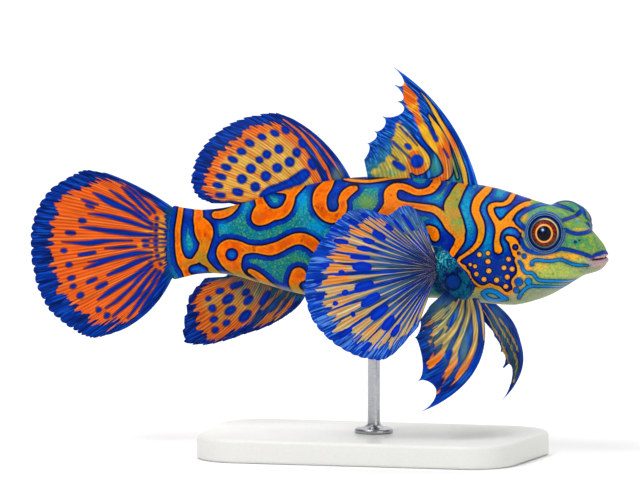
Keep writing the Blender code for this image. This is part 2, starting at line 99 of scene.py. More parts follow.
FIN_EDGE = (0.10, 0.16, 0.02)   # a fin rounds off over these: ray gaps, millimetres, share of its rows
LOOSE_FOOT = 0.3           # how far fraying reaches away from the margin
LOOSE_DEPTH = (36, 20)     # sheet units from the margin where fraying begins to grow, and its run to full
OUTER_BLUE = 12.0          # sheet units by which a fin's first and last ray leave the warm field
PELVIC_LIFT = 0.5
BASE_SIZE = (42.0, 23.0, 3.0)
BASE_CORNER = 6.0
BASE_EDGE = 0.5
ROD_AT = 0.5
ROD_RADIUS = 0.8
ROD_SINK = 0.12            # the cup reaches this far into the belly's skin
ROD_CLEAR = 0.02
# Radius and height above the base, and radius and depth below the cup's top
ROD_FOOT = ((2.3, 0.0), (2.4, 0.12), (2.4, 0.4), (2.2, 0.58), (1.4, 0.72), (1.0, 0.95), (ROD_RADIUS, 1.5),
            (ROD_RADIUS, 6.0))
ROD_CUP = ((ROD_RADIUS, 4.0), (ROD_RADIUS, 1.8), (1.0, 1.2), (1.45, 0.62), (1.6, 0.35), (1.58, 0.12),
           (1.3, 0.02))

# ---------------------------------------------------------------- fineness of the surfaces

TABLE_SAMPLES = 1200       # samples of the station table where it is only looked up
STATION_SAMPLES = 6000     # and where it is measured along
SECTION_ANGLES = 721
SKIN_ROWS = 396
SKIN_QUARTER = 61          # columns in a quarter of a section
HEAD_FROM = 15.0           # rows lie closer from here to the snout
HEAD_DENSITY = 1.75
CAP_ROWS = 8
CAP_LENGTH = 1.1
CAP_EDGE = 0.03            # the cap's last row keeps this share of the section's width
CAP_SQUEEZE = 0.4          # and loses this share of its height
EYE_RINGS = 90
EYE_COLUMNS = 144
SLAB_COLUMNS = 160
STEM_COLUMNS = 72
STEM_ROWS = 7              # for each row of its profile
MARGIN_FROM = 0.93         # a fin's rows lie closer from here to its margin
MARGIN_ROWS = 10
MARGIN_POWER = 1.6

# ---------------------------------------------------------------- the pattern sheet

SHEET_TURN = math.radians(13.0)
SHEET_TIP = math.radians(7.0)
SHEET_UNIT = 0.126         # millimetres for one unit of the sheet
SHEET_ORIGIN = (370.0, 456.0)
FAR_REACH = 14.0           # distances to markings are kept up to this many units


# ---------------------------------------------------------------- frames and curves

def place(points):
    """Body frame to scene: past BEND_START the axis follows a circle of BEND_RADIUS to the right."""
    x, y, z = np.moveaxis(np.asarray(points, float), -1, 0)
    past = np.maximum(x - BEND_START, 0.0) / BEND_RADIUS
    axis_x = np.minimum(x, BEND_START) + BEND_RADIUS * np.sin(past)
    axis_y = -BEND_RADIUS * (1.0 - np.cos(past))
    return np.stack((axis_x + np.sin(past) * y, axis_y + np.cos(past) * y, z), -1) * MM


def on_sheet(points, mirrored=True):
    """Sheet place of body points: across = X cos(turn) + Y sin(turn), up = the upright direction tipped back.

    Mirrored points are first moved to the right side, so both flanks share one layout.
    """
    points = np.array(points, float)
    if mirrored:
        points[..., 1] = -abs(points[..., 1])
    x, y, z = np.moveaxis(place(points) / MM, -1, 0)
    across = x * math.cos(SHEET_TURN) + y * math.sin(SHEET_TURN)
    away = -x * math.sin(SHEET_TURN) + y * math.cos(SHEET_TURN)
    up = away * math.sin(SHEET_TIP) + z * math.cos(SHEET_TIP)
    return np.stack((SHEET_ORIGIN[0] + across / SHEET_UNIT, SHEET_ORIGIN[1] - up / SHEET_UNIT), -1)


def through(rows, steps):
    """A Catmull-Rom curve through the rows of a table, read at steps counted in rows."""
    rows = np.asarray(rows, float)
    padded = np.vstack((2 * rows[0] - rows[1], rows, 2 * rows[-1] - rows[-2]))
    steps = np.clip(np.asarray(steps, float), 0.0, len(rows) - 1.0)
    left = np.minimum(steps.astype(int), len(rows) - 2)
    t = (steps - left)[:, None]
    a, b, c, d = (padded[left + k] for k in range(4))
    return 0.5 * (2 * b + (c - a) * t + (2 * a - 5 * b + 4 * c - d) * t ** 2
                  + (3 * b - a - 3 * c + d) * t ** 3)


def smooth(value, low, high):
    """0 below low, 1 above high, and the cubic 3t^2 - 2t^3 between."""
    t = np.clip((value - low) / (high - low), 0.0, 1.0)
    return t * t * (3.0 - 2.0 * t)


def bell(value, width):
    """1 at nothing, falling off to both sides as exp(-(value / width)^2)."""
    return np.exp(-(value / width) ** 2)


def waves(points, length, seed):
    """A smooth wander, mostly between -1 and 1: a fifth of twelve summed sines of about that wavelength."""
    random = np.random.default_rng(seed)
    total = np.zeros(points.shape[:-1])
    for _ in range(12):
        aim = random.normal(size=points.shape[-1])
        aim *= 2.0 * math.pi / (length * random.uniform(0.7, 1.6) * np.linalg.norm(aim))
        total += np.sin(points @ aim + random.uniform(0.0, 2.0 * math.pi))
    return total / 5.0


DENSE = through(STATIONS, np.linspace(0.0, len(STATIONS) - 1.0, TABLE_SAMPLES))


def top_at(x):
    return np.interp(x, DENSE[:, 0], DENSE[:, 1])


def bottom_at(x):
    return np.interp(x, DENSE[:, 0], DENSE[:, 2])


def underside_at(x, y):
    """Height of the belly's skin at a place off the middle line."""
    half = np.interp(x, DENSE[:, 0], DENSE[:, 3])
    bottom = bottom_at(x)
    middle = bottom + WIDEST_AT * (top_at(x) - bottom)
    share = 1.0 - np.clip(abs(y) / half, 0.0, 1.0) ** BELLY_POWER
    return middle - (middle - bottom) * share ** (1.0 / BELLY_POWER)


# ---------------------------------------------------------------- markings as distances on the sheet

def stroke_field(sheet, strokes, join=3.0):
    """Distance from every sheet point to the nearest stroke's edge, negative inside.

    A stroke is a smooth curve through rows (across, down, half width). Strokes of one set flow into
    each other: where two edges are closer than join, the smaller distance is lowered by
    (join - difference)^2 / (4 join).
    """
    field = np.full(len(sheet), FAR_REACH)
    for rows in strokes:
        rows = np.atleast_2d(np.array(rows, float))
        if len(rows) == 1:
            rows = np.vstack((rows, rows + (0.01, 0.0, 0.0)))
        fine = through(rows, np.linspace(0.0, len(rows) - 1.0, (len(rows) - 1) * 6 + 1))
        spare = fine[:, 2].max() + FAR_REACH
        low, high = fine[:, :2].min(0) - spare, fine[:, :2].max(0) + spare
        near = np.flatnonzero(((sheet > low) & (sheet < high)).all(1))
        if len(near) == 0:
            continue
        spots = sheet[near]
        best = np.full(len(near), FAR_REACH)
        for start, end in zip(fine[:-1], fine[1:]):
            run = end[:2] - start[:2]
            t = np.clip((spots - start[:2]) @ run / max(run @ run, 1e-9), 0.0, 1.0)
            gap = np.hypot(*(spots - start[:2] - t[:, None] * run).T)
            best = np.minimum(best, gap - start[2] - t * (end[2] - start[2]))
        held = field[near]
        blend = np.clip(join - abs(held - best), 0.0, None) ** 2 / (4.0 * join)
        field[near] = np.minimum(held, best) - np.where(np.maximum(held, best) < FAR_REACH, blend, 0.0)
    return field


def area_field(sheet, outline):
    """Distance from every sheet point to a closed smooth outline, negative inside."""
    outline = np.array(outline, float)
    ring = np.vstack((outline[-1:], outline, outline[:2]))
    fine = through(ring, np.linspace(1.0, len(outline) + 1.0, len(outline) * 8 + 1))
    gap = np.full(len(sheet), 1e6)
    inside = np.zeros(len(sheet), bool)
    for start, end in zip(fine[:-1], fine[1:]):
        run = end - start
        t = np.clip((sheet - start) @ run / max(run @ run, 1e-9), 0.0, 1.0)
        gap = np.minimum(gap, np.hypot(*(sheet - start - t[:, None] * run).T))
        rises = (start[1] > sheet[:, 1]) != (end[1] > sheet[:, 1])
        slope = run[0] / (run[1] if run[1] else 1e-9)
        inside ^= rises & (sheet[:, 0] < start[0] + (sheet[:, 1] - start[1]) * slope)
    return np.clip(np.where(inside, -gap, gap), -FAR_REACH, FAR_REACH)


def spots(rows):
    """Strokes for oval spots given as (across, down, half length, half width, turn in degrees)."""
    found = []
    for across, down, length, width, turn in rows:
        reach = max(length - width, 0.01)
        step = np.array((math.cos(math.radians(turn)), math.sin(math.radians(turn)))) * reach
        found.append(((across - step[0], down - step[1], width * 0.8), (across, down, width),
                      (across + step[0], down + step[1], width * 0.8)))
    return found


def soft_mask(sheet, blobs):
    """The strongest of some soft ovals (across, down, reach across, reach down, strength)."""
    mask = np.zeros(len(sheet))
    for across, down, wide, tall, strength in blobs:
        near = np.exp(-((sheet[:, 0] - across) / wide) ** 2 - ((sheet[:, 1] - down) / tall) ** 2)
        mask = np.maximum(mask, strength * np.minimum(1.35 * near, 1.0))
    return mask


# Orange bands of the flank, tail to head: (across, down, half width) in sheet units
BANDS = (
    ((181.5, 204, 3), (179.5, 218, 3.2), (177.8, 230, 3.3), (177.8, 242, 3.3), (178.8, 252, 3.8),
     (182, 262, 5), (186, 270, 4.5), (188, 279, 4)),
    ((198.5, 205, 4.6), (198.5, 214, 5), (198.5, 220, 5.5), (202, 226, 8.2), (203.8, 231, 9.6),
     (204.6, 236, 8.4), (205.2, 242, 6), (203.6, 249, 5.4), (202.5, 256, 4.6), (205, 263, 4.2),
     (211, 269, 3.6), (220, 275, 2.2)),
    ((200, 255, 4.6), (193.5, 261.8, 3.8), (186, 262.5, 4.2)),
    ((215.5, 214.8, 4.2), (221, 214.5, 4.5), (228, 212.2, 4.2), (234, 208.2, 3.2), (238, 204, 2)),
    ((229.8, 252.8, 13.8),),
    ((238, 248.5, 8), (247, 249, 5), (256, 249.3, 4.1), (264, 250, 5), (271, 249.5, 6.2), (279, 246.8, 6),
     (287, 242.5, 5.8), (295, 239.2, 6), (303, 239, 6.2), (311, 242.7, 6.4), (318, 249, 6), (325, 257, 5),
     (334, 261, 4.6), (343, 259, 4.4), (350, 263, 4.6), (350, 272, 4.4), (343, 279, 4)),
    ((231, 261, 10.5), (236, 269, 6), (243, 275.5, 3), (252, 280.5, 2), (264, 286, 1.3)),
    ((250, 271, 2.8), (256, 274.5, 3.6), (263, 279.8, 3.7), (270, 285, 2.9), (279, 290, 1.6)),
    ((298.5, 275.5, 8.4), (294, 283, 5.6), (297, 290, 4), (304, 294, 2.4)),
    ((258, 196, 4.5), (261, 206, 5.4), (258.5, 213, 6.4), (258, 218.5, 6.8), (264, 217.5, 7.6),
     (272, 215, 6.2), (280, 213.3, 6), (286, 209, 5.6), (289.5, 202, 5), (291.5, 195, 4.6), (296, 190, 4.2),
     (303, 185, 2.6)),
    ((292, 193.5, 3), (285, 191.3, 2.8), (277, 191.5, 1.8)), ((264, 207, 4.2), (268.5, 212.5, 4.8)),
    ((331.5, 178, 4.2), (326.5, 186, 6), (321, 193, 7.2), (319.5, 201, 7.5), (320.7, 208, 6.9),
     (325.4, 215, 5.9), (333, 217.5, 6), (340, 214, 5), (343, 207, 4.6), (342.5, 200, 4.5),
     (345.5, 194.5, 5), (350.5, 190.3, 4.5), (355, 188.3, 3.2)),
    ((344, 179, 1.6), (355, 180.6, 2), (368, 181.3, 2), (380, 180, 1.9), (392, 178, 1.8),
     (406, 177.5, 1.2)),
    ((437, 182, 4.6), (431.5, 189, 4.2), (424, 191.8, 3.5), (416, 192, 3.6), (409, 189, 4),
     (402, 186.5, 3.6), (395, 187.5, 4.6), (390.5, 193, 6.6), (390.5, 199, 7), (391, 205, 7.6),
     (386.5, 211, 6.5), (380, 219, 5.4), (378, 230, 4.6), (384, 239, 4.4), (386, 249, 4.6),
     (381, 258, 4.6)),
    ((394, 203.5, 5.2), (400, 204.5, 4.4), (407, 204.8, 3.2), (415, 205.8, 3.2), (424, 207.5, 3.8),
     (433, 209, 4), (440, 213.5, 4.3), (445, 220, 4.2), (449.5, 227, 4.5), (456, 232.5, 4.9), (460, 238, 5),
     (457.5, 245, 4.1), (453, 252, 3.5), (450, 259, 2.5)),
    ((429, 229, 4.2), (433.5, 232, 5.2), (435, 237, 4.8)),
    ((465, 181, 4), (458.5, 190, 5.6), (454.5, 198, 6.4), (451, 206, 7.4), (453.5, 214, 7), (458, 222, 5.4),
     (461, 231, 4.6)),
    # hidden in part by the open fin
    ((404, 222, 4), (396, 229, 4.6), (400, 239, 4.4), (410, 243, 4.2), (414, 252, 4.4), (406, 260, 4.2),
     (396, 262, 3.6)),
    ((366, 222, 3.6), (362, 231, 4.6), (366, 240, 4.6), (364, 249, 4.4), (368, 258, 3.8)),
    ((343, 229, 3.4), (347, 238, 4.4), (344, 247, 3.8)),
    ((372, 272, 3.8), (382, 275, 4.2), (389, 283, 3.6)), ((360, 284, 3.4), (367, 290, 3.4)),
    ((318, 269, 3.6), (325, 276, 4.4), (324, 286, 4)), ((400, 275, 3.6), (408, 282, 4), (412, 290, 3)),
    ((424, 262, 3.6), (426, 272, 4.2), (422, 282, 3.6)),
    # nape and cheek
    ((490.5, 185, 1.6), (488, 189, 3.8), (481.5, 195.5, 4.2), (477, 202, 4.4), (475.3, 210, 4.2),
     (477.5, 217, 4.1), (480.3, 223.5, 4), (481.4, 230.5, 3.6), (480.6, 237, 3.4), (478, 243.5, 2.9),
     (472, 250, 2.3), (465, 255, 1.6), (460, 258.5, 1.8), (458.3, 262, 1.6), (461, 265.5, 1.5),
     (465, 266.3, 1.1)),
    ((514.5, 190, 2), (512.3, 196, 2.7), (508.2, 201.6, 2.6), (502.3, 204.3, 2.2), (495.4, 204.6, 2.5),
     (491, 206.8, 3), (490.6, 210, 3.1), (491.9, 214, 2.9), (494.4, 218.5, 2.9), (497.6, 224, 3.4),
     (498.3, 230.5, 3), (497.2, 237, 2.6), (496.8, 243.5, 3.2), (498.3, 249.6, 4)),
    ((500.5, 227.5, 3.4), (505.5, 222, 3.8), (509.4, 217, 3.7), (513.6, 211.8, 2.8), (519.4, 207.1, 2.7),
     (525.5, 204.1, 2.6), (531.4, 202.1, 1.8), (536, 201.2, 1.2)),
    ((504, 223.6, 3.8), (510, 223.6, 3.2), (515, 224.8, 2.9), (518.5, 227.6, 2.2), (520.6, 231.6, 1.3)),
    ((507.6, 238, 2.4), (512.5, 241, 4.2), (515, 247, 4.8), (516, 253.5, 3.6)),
    ((461, 266, 1.2), (464, 268.5, 1.1), (468.5, 272, 1.2), (470.5, 277.5, 1.1), (474.5, 282.5, 1.2),
     (480, 286.3, 1.2), (485, 286.5, 1.1), (489.5, 284.3, 1), (494.5, 286.3, 1.1), (499.5, 287.8, 1.2),
     (503, 291.5, 1.2), (507, 293.5, 1.2), (512, 292, 2)),
)
# The head's own ground, from the nape's edge round the snout
HEAD_AREA = (
    (533, 190), (531, 200), (527, 206), (521, 211.5), (518.5, 217), (519, 224), (521.5, 231), (521.3, 239),
    (519, 246), (518, 252), (516.5, 256), (514.6, 260.5), (516.2, 265), (517.2, 269.5), (516.4, 274),
    (512.8, 278), (511.2, 282.5), (512.6, 287.5), (511.2, 292), (507, 294.5), (503, 292.5), (499, 289),
    (494, 287.5), (489.5, 286), (485, 288), (480, 288), (475, 287), (470, 289), (467, 300), (472, 318),
    (520, 326), (560, 330), (640, 300), (640, 210), (590, 180),
)
# The fleshy base of the pectoral fin
LOBE_AREA = (
    (427, 252), (434, 247), (443, 249), (452, 257), (460, 266), (467, 275), (472.5, 284), (473, 292),
    (467, 298.5), (456, 301), (445, 299), (436, 292), (429, 283), (424, 268),
)
# Blue lines and spots drawn over the warm grounds
MARKS = (
    ((193, 269.5, 4.4), (198.5, 269.2, 5.2), (204, 270.5, 4)), ((231.7, 254.6, 6),),
    ((303.5, 285, 3.4), (306, 290, 3.4)),
    ((561.5, 220.6, 1.2), (566, 219.2, 1.4), (571, 217.6, 1.4), (576, 215.6, 1.4), (578.8, 213, 1.8),
     (580.4, 211.3, 1.6)),
    ((550, 203, 0.9), (555, 204.6, 1.3), (562, 206.4, 1.4), (568, 208.4, 1.3), (573.5, 211.2, 0.7)),
    ((575.3, 242, 1.1),), ((579.3, 240.4, 0.5),), ((518.8, 253.4, 1.5),),
    ((482.5, 293, 1.6), (486, 291.4, 2.2), (491, 290.9, 2.3), (496.5, 292.7, 2.3), (501, 295.8, 2.2),
     (507, 298.6, 1.2)),
    ((483.5, 294.5, 1.8), (487, 298, 2.1), (493, 300.3, 1.9), (500, 300, 1.8), (507, 299.4, 1.2)),
    ((565, 229.4, 1.4), (569, 231.6, 1.6), (575, 233.5, 1.6), (580, 233.7, 1.6), (587, 232.2, 1.6),
     (592.5, 229.8, 1.4), (597, 229.6, 1.2)),
    ((520.5, 239, 2.2), (522.5, 244.5, 2), (526.5, 249.5, 1.9), (533, 252.3, 1.8), (542, 253.3, 1.8),
     (551, 251.8, 1.7), (560, 248.9, 1.6), (566, 249.4, 1.6), (572, 250.6, 1.6), (582, 253.4, 1.6),
     (588.5, 255.9, 1.6), (592, 257, 1.4), (595.5, 255, 1.5), (600, 253.8, 1.6), (604.4, 251.6, 1.6),
     (609, 250.4, 1.5)),
    ((532, 264.3, 2), (532.6, 261.6, 1.6), (537, 260, 1.5), (545, 260.8, 1.5), (552, 261, 1.5),
     (560, 259.5, 1.5), (566, 261.4, 1.5), (572, 264, 1.5), (579, 265.3, 1.4), (588, 265.3, 0.8)),
    ((519, 261.5, 1.3), (521.7, 265, 1.6), (522.7, 269, 1.6), (526, 272.6, 1.6), (531.5, 273.1, 1.6),
     (534.7, 275.6, 1.6), (537.7, 279.5, 1.6), (544, 281, 1.5), (555, 281.2, 1.5), (568, 281.2, 1.2),
     (578, 279.5, 0.8)),
    ((519, 297.5, 1.8), (522.5, 291.5, 1.6), (527, 287.7, 1.6), (532, 286, 1.6), (540, 286.2, 1.3),
     (550, 286.4, 1.2), (562, 286.3, 1), (572, 284.4, 0.6)),
    ((527.5, 230.5, 2), (521.5, 226, 2.6), (517, 221, 2.8), (518.3, 215.7, 2.6), (524, 211.3, 2.2),
     (531, 208, 2), (539, 205, 1.6), (548, 203.6, 1.3)),
    ((553, 203.2, 0.9), (560, 200.4, 1.4), (567, 199.6, 1.6), (574, 200.9, 1.7), (580.6, 205.4, 1.7),
     (585.6, 211.8, 1.6), (588, 219, 1.4), (588.6, 224, 1)),
    ((515.3, 247.2, 2.8),), ((524.1, 256.1, 2.4),), ((518.6, 281.9, 4.1),), ((528.4, 281.6, 3.5),),
    ((516.3, 290.2, 2.9),),
)
# Amber dots on the blue cheek
DOTS = spots((
    (479.4, 254.6, 2.7, 2.3, 0), (487.9, 253.2, 2.6, 2.2, 60), (488, 261.5, 3, 2.5, 0),
    (470.2, 264.6, 1.9, 1.7, 0), (475, 266.3, 2.4, 2, 30), (488.8, 270.9, 3.2, 2.5, 0),
    (476.4, 274.1, 2.6, 2.2, 0), (484, 279.3, 3.1, 2.4, 0), (496.6, 280.1, 3, 2.5, 0),
    (508.5, 259.2, 2.7, 2.3, 20), (503.9, 267.8, 2.7, 2.4, 0), (512.1, 269, 2.3, 2.5, 0),
    (507.2, 277, 2.8, 2.5, 0), (505.8, 286.5, 3, 2.3, 0),
))
# Where the orange turns olive, green or amber, and where the head is yellow, grey or rosy
OLIVE = (
    (203, 258, 9, 9, 0.9), (204, 244, 6, 6, 0.5), (188, 264, 7, 5, 0.5), (214, 271, 12, 6, 0.9),
    (238, 276, 14, 5, 0.9), (226, 269, 8, 4, 0.4), (268, 285, 15, 6, 0.6), (297, 289, 12, 5, 0.8),
    (254, 283, 10, 4, 0.7), (457, 194, 8, 8, 0.55), (461, 232, 5, 7, 0.55), (480, 228, 4, 9, 0.6),
    (497, 190, 8, 3, 0.9), (513, 219, 8, 4, 0.4), (503, 232, 4, 3, 0.4), (496, 242, 4, 6, 0.45),
    (228, 209, 12, 3, 0.5), (248, 252, 6, 3, 0.35), (466, 184, 5, 4, 0.3), (476, 292, 7, 7, 0.9),
    (490, 303, 24, 4, 0.9), (480, 187, 4, 4, 0.3), (258, 214, 4, 4, 0.2), (395, 178, 14, 4, 0.5),
    (484, 286, 26, 5, 0.35), (467, 271, 8, 8, 0.3),
)
NAPE = (
    (500, 225, 40, 60, 0.9), (440, 215, 16, 26, 0.55), (390, 196, 14, 16, 0.5), (300, 190, 12, 8, 0.3),
)
LEAF = (
    (451, 203, 12, 17, 1), (457, 222, 8, 10, 1), (496, 303, 24, 3, 0.5), (531, 199, 8, 3, 0.5),
    (367, 202, 8, 6, 1), (458, 192, 7, 9, 0.7), (478, 297, 6, 5, 0.6),
)
AMBER = (
    (526, 258, 10, 9, 1), (545, 256, 18, 4.5, 1), (570, 256, 14, 3.5, 0.8), (527, 267, 8, 9, 0.9),
    (514, 284, 9, 13, 1), (521, 274, 6, 10, 0.9), (524, 216, 3, 6, 0.7), (517, 296, 8, 4, 0.5),
    (540, 266, 8, 4, 0.5), (572, 219, 10, 1.6, 0.3), (580, 229.5, 10, 1.5, 0.5), (519, 236, 3, 6, 0.8),
    (477, 292, 6, 5, 0.4),
)
LIME = (
    (555, 271, 30, 9, 1), (584, 261, 14, 6, 0.8), (535, 277, 16, 5, 0.6),
)
GREY = (
    (596, 269, 18, 8, 0.9), (548, 293, 34, 7, 0.95), (575, 284, 20, 6, 0.8), (530, 300, 24, 5, 0.7),
    (603, 243, 8, 10, 0.35), (496, 299, 26, 8, 0.9), (477, 300, 8, 8, 0.4),
)
ROSY = (
    (601, 262.5, 10, 5, 1), (604, 256, 7, 2.5, 0.7),
)
CYAN = (
    (545, 261, 22, 6, 1), (580, 265, 14, 4, 1), (530, 273, 12, 8, 1), (555, 281, 26, 4, 1),
    (528, 281.6, 5, 5, 1), (527, 291, 10, 8, 1), (556, 286, 24, 3, 0.9), (494, 295, 18, 8, 0.9),
    (519, 219, 4, 6, 0.3), (545, 204, 12, 3, 0.4),
)
DEEP = (
    (490, 268, 30, 15, 1), (476, 262, 14, 9, 1), (508, 270, 12, 18, 1), (505, 290, 9, 7, 1),
    (446, 244, 8, 10, 1), (169, 243, 7, 48, 0.75), (178, 206, 5, 4, 0.7), (400, 190, 12, 4, 0.5),
    (334, 203, 4, 8, 0.7), (213, 222, 5, 7, 0.8), (296, 286, 20, 12, 0.25),
)
BRIGHT = (
    (169, 243, 6, 30, 0.35), (302, 200, 6, 12, 1), (467, 214, 7, 26, 1), (487, 240, 5, 14, 0.9),
    (436, 199, 9, 5, 0.7), (223, 227, 5, 5, 0.6), (459, 192, 3, 4, 0.3), (336, 203, 4, 4, 0.5),
    (500, 195, 6, 4, 0.5), (188, 243, 5, 9, 0.5), (276, 200, 5, 5, 0.4), (441, 259, 13, 7, 1),
    (487, 228, 4, 10, 0.3), (372, 186, 10, 5, 0.4), (247, 207, 6, 7, 0.5), (318, 226, 10, 8, 0.8),
    (478, 246, 4, 8, 0.4), (484, 205, 5, 20, 0.6), (500, 212, 6, 6, 0.8), (508, 232, 7, 5, 0.7),
    (503, 247, 4, 8, 0.5), (436, 225, 8, 6, 0.7),
    # sea-green smudges on the head
    (578, 221.5, 3, 2.4, 0.9), (572, 207, 7, 2.6, 0.8), (580, 205, 6, 3, 0.6), (554, 206.5, 7, 2.4, 0.7),
    (538, 211, 7, 3, 0.7), (530, 215, 4, 6, 0.5), (586, 214, 3, 7, 0.7), (566, 239, 3, 5, 0.5),
    (590, 246, 3, 2, 0.4), (575, 242, 3.4, 3, 0.7), (560, 214, 4, 2, 0.6),
)
SOFT_MARKS = dict(olive=OLIVE, leaf=LEAF, nape=NAPE, amber=AMBER, lime=LIME, grey=GREY, rosy=ROSY, cyan=CYAN,
                  deep=DEEP, bright=BRIGHT)
# Small forms of the skin, as places on the sheet
LIP_LINE = ((587, 261.4), (591, 260), (597, 259.3), (604, 258.3), (612, 257.4))
CHEEK_FOLD = ((540, 283), (560, 279.5), (575, 273), (590, 262))
NOSTRIL = (575, 241)
GILL = (484, 196)
LOBE_EYE = (453, 282)
LIPS_FROM = (588.5, 593.0)   # across, where the lips begin to rise and where their slit begins
LOBE_CLEAR = 12.0            # distances grow by this on the fleshy base, where no band or mark shows
LEFT_SLIDE = (7.0, 1.5)      # how far the left side's markings slide, on the flank and on the head


# ---------------------------------------------------------------- meshes

def build_mesh(name, points, quads, triangles, layout, values):
    """A smooth mesh from corner tables, its bake layout, one place for each corner, and its values."""
    mesh = bpy.data.meshes.new(name)
    corners = np.concatenate((quads.ravel(), triangles.ravel())).astype(np.int32)
    sizes = np.concatenate((np.full(len(quads), 4), np.full(len(triangles), 3)))
    mesh.vertices.add(len(points))
    mesh.vertices.foreach_set("co", place(points).astype(np.float32).ravel())
    mesh.loops.add(len(corners))
    mesh.loops.foreach_set("vertex_index", corners)
    mesh.polygons.add(len(sizes))
    mesh.polygons.foreach_set("loop_start", (np.cumsum(sizes) - sizes).astype(np.int32))
    mesh.update(calc_edges=True)
    mesh.uv_layers.new(name="OFBake").uv.foreach_set("vector", layout.astype(np.float32).ravel())
    for key, value in values.items():
        mesh.attributes.new(key, "FLOAT", "POINT").data.foreach_set("value", value.astype(np.float32))
    mesh.shade_smooth()
    return mesh


def add_piece(name, mesh, material, slot, *nodes):
    """A piece that rides with the one body and stands for the given CAD nodes."""
    mesh.materials.append(material)
    obj = bpy.data.objects.new(name, mesh)
    bpy.context.scene.collection.objects.link(obj)
    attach(obj, "root")
    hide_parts(*nodes)


def ring_stack(name, rings, first, last, values):
    """A closed skin over rings of equal corner counts, with a pole point at each end.

    Rings is (rows, columns, 3); columns run anticlockwise seen from the last ring's side. Values are
    given for every ring corner, row by row, and then for the two poles.
    """
    rows, columns = rings.shape[:2]
    points = np.vstack((rings.reshape(-1, 3), first, last))
    s, k = np.meshgrid(np.arange(rows - 1), np.arange(columns), indexing="ij")
    following = (k + 1) % columns
    quads = np.stack((s * columns + k, s * columns + following,
                      (s + 1) * columns + following, (s + 1) * columns + k), -1).reshape(-1, 4)
    margin = 0.02
    wide, tall = 1.0 / columns, (1.0 - 2.0 * margin) / (rows - 1)
    across, along = k * wide, margin + s * tall
    layout = np.stack((np.stack((across, along), -1), np.stack((across + wide, along), -1),
                       np.stack((across + wide, along + tall), -1), np.stack((across, along + tall), -1)), 2)
    k = np.arange(columns)
    following = (k + 1) % columns
    base = (rows - 1) * columns
    pole = np.full(columns, rows * columns)
    triangles = np.vstack((np.column_stack((pole, following, k)),
                           np.column_stack((pole + 1, base + k, base + following))))
    u = k * wide
    ends = [np.stack((np.column_stack((u + 0.5 * wide, np.full(columns, top))),
                      np.column_stack((one, np.full(columns, side))),
                      np.column_stack((two, np.full(columns, side)))), 1).reshape(-1, 2)
            for top, side, one, two in ((0.0, margin, u + wide, u), (1.0, 1.0 - margin, u, u + wide))]
    layout = np.vstack((layout.reshape(-1, 2), *ends))
    return build_mesh(name, points, quads, triangles, layout, values)


def grid_normals(grid, closed):
    """Unit normals of a grid from the cross product of its two differences."""
    along = np.gradient(grid, axis=0)
    if closed:
        across = np.roll(grid, -1, 1) - np.roll(grid, 1, 1)
    else:
        across = np.gradient(grid, axis=1)
    normal = np.cross(across, along)
    return normal / np.maximum(np.linalg.norm(normal, axis=-1, keepdims=True), 1e-12)


# ---------------------------------------------------------------- skin

def section_radius(rows, angles):
    """Polar radius of the body's sections, one row of angles for each row of the station table.

    A superellipse with its own power above and below the greatest width, blended over the eyes into
    the circle in which the section cuts the sphere of the orbit.
    """
    x, top, bottom, half = rows.T[:, :, None]
    middle = bottom + WIDEST_AT * (top - bottom)
    across, up = np.cos(angles)[None, :], np.sin(angles)[None, :]
    tall = np.where(up > 0.0, top - middle, middle - bottom)
    power = np.where(up > 0.0, BACK_POWER, BELLY_POWER)
    radius = ((abs(across) / half) ** power + (abs(up) / tall) ** power) ** (-1.0 / power)
    cut_square = ORBIT_RADIUS ** 2 - ((x - EYE_CENTRE[0] + ORBIT_BACK) / ORBIT_LENGTH) ** 2
    blend = ORBIT_BLEND ** 2 * np.clip(cut_square / ORBIT_RADIUS ** 2, 0.0, 1.0)
    for side in (-1.0, 1.0):
        eye_y, eye_z = side * EYE_CENTRE[1], EYE_CENTRE[2] + ORBIT_RISE - middle
        along = across * eye_y + up * eye_z
        inside = cut_square - (eye_y ** 2 + eye_z ** 2 - along ** 2)
        orbit = np.where((cut_square > 0.0) & (inside > 0.0), along + np.sqrt(np.maximum(inside, 0.0)), 0.0)
        radius = 0.5 * (radius + orbit + np.sqrt((radius - orbit) ** 2 + blend))
    return radius, middle


def skin_stations():
    """Rows of the station table, evenly spaced along the fastest-changing outline and closer on the head."""
    steps = np.linspace(0.0, len(STATIONS) - 1.0, STATION_SAMPLES)
    fine = through(STATIONS, steps)
    run = np.diff(fine, axis=0)
    length = np.sqrt(run[:, 0] ** 2 + abs(run[:, 1:]).max(1) ** 2)
    length *= np.where(fine[1:, 0] > HEAD_FROM, HEAD_DENSITY, 1.0)
    travelled = np.concatenate(([0.0], np.cumsum(length)))
    return through(STATIONS, np.interp(np.linspace(0.0, travelled[-1], SKIN_ROWS), travelled, steps))


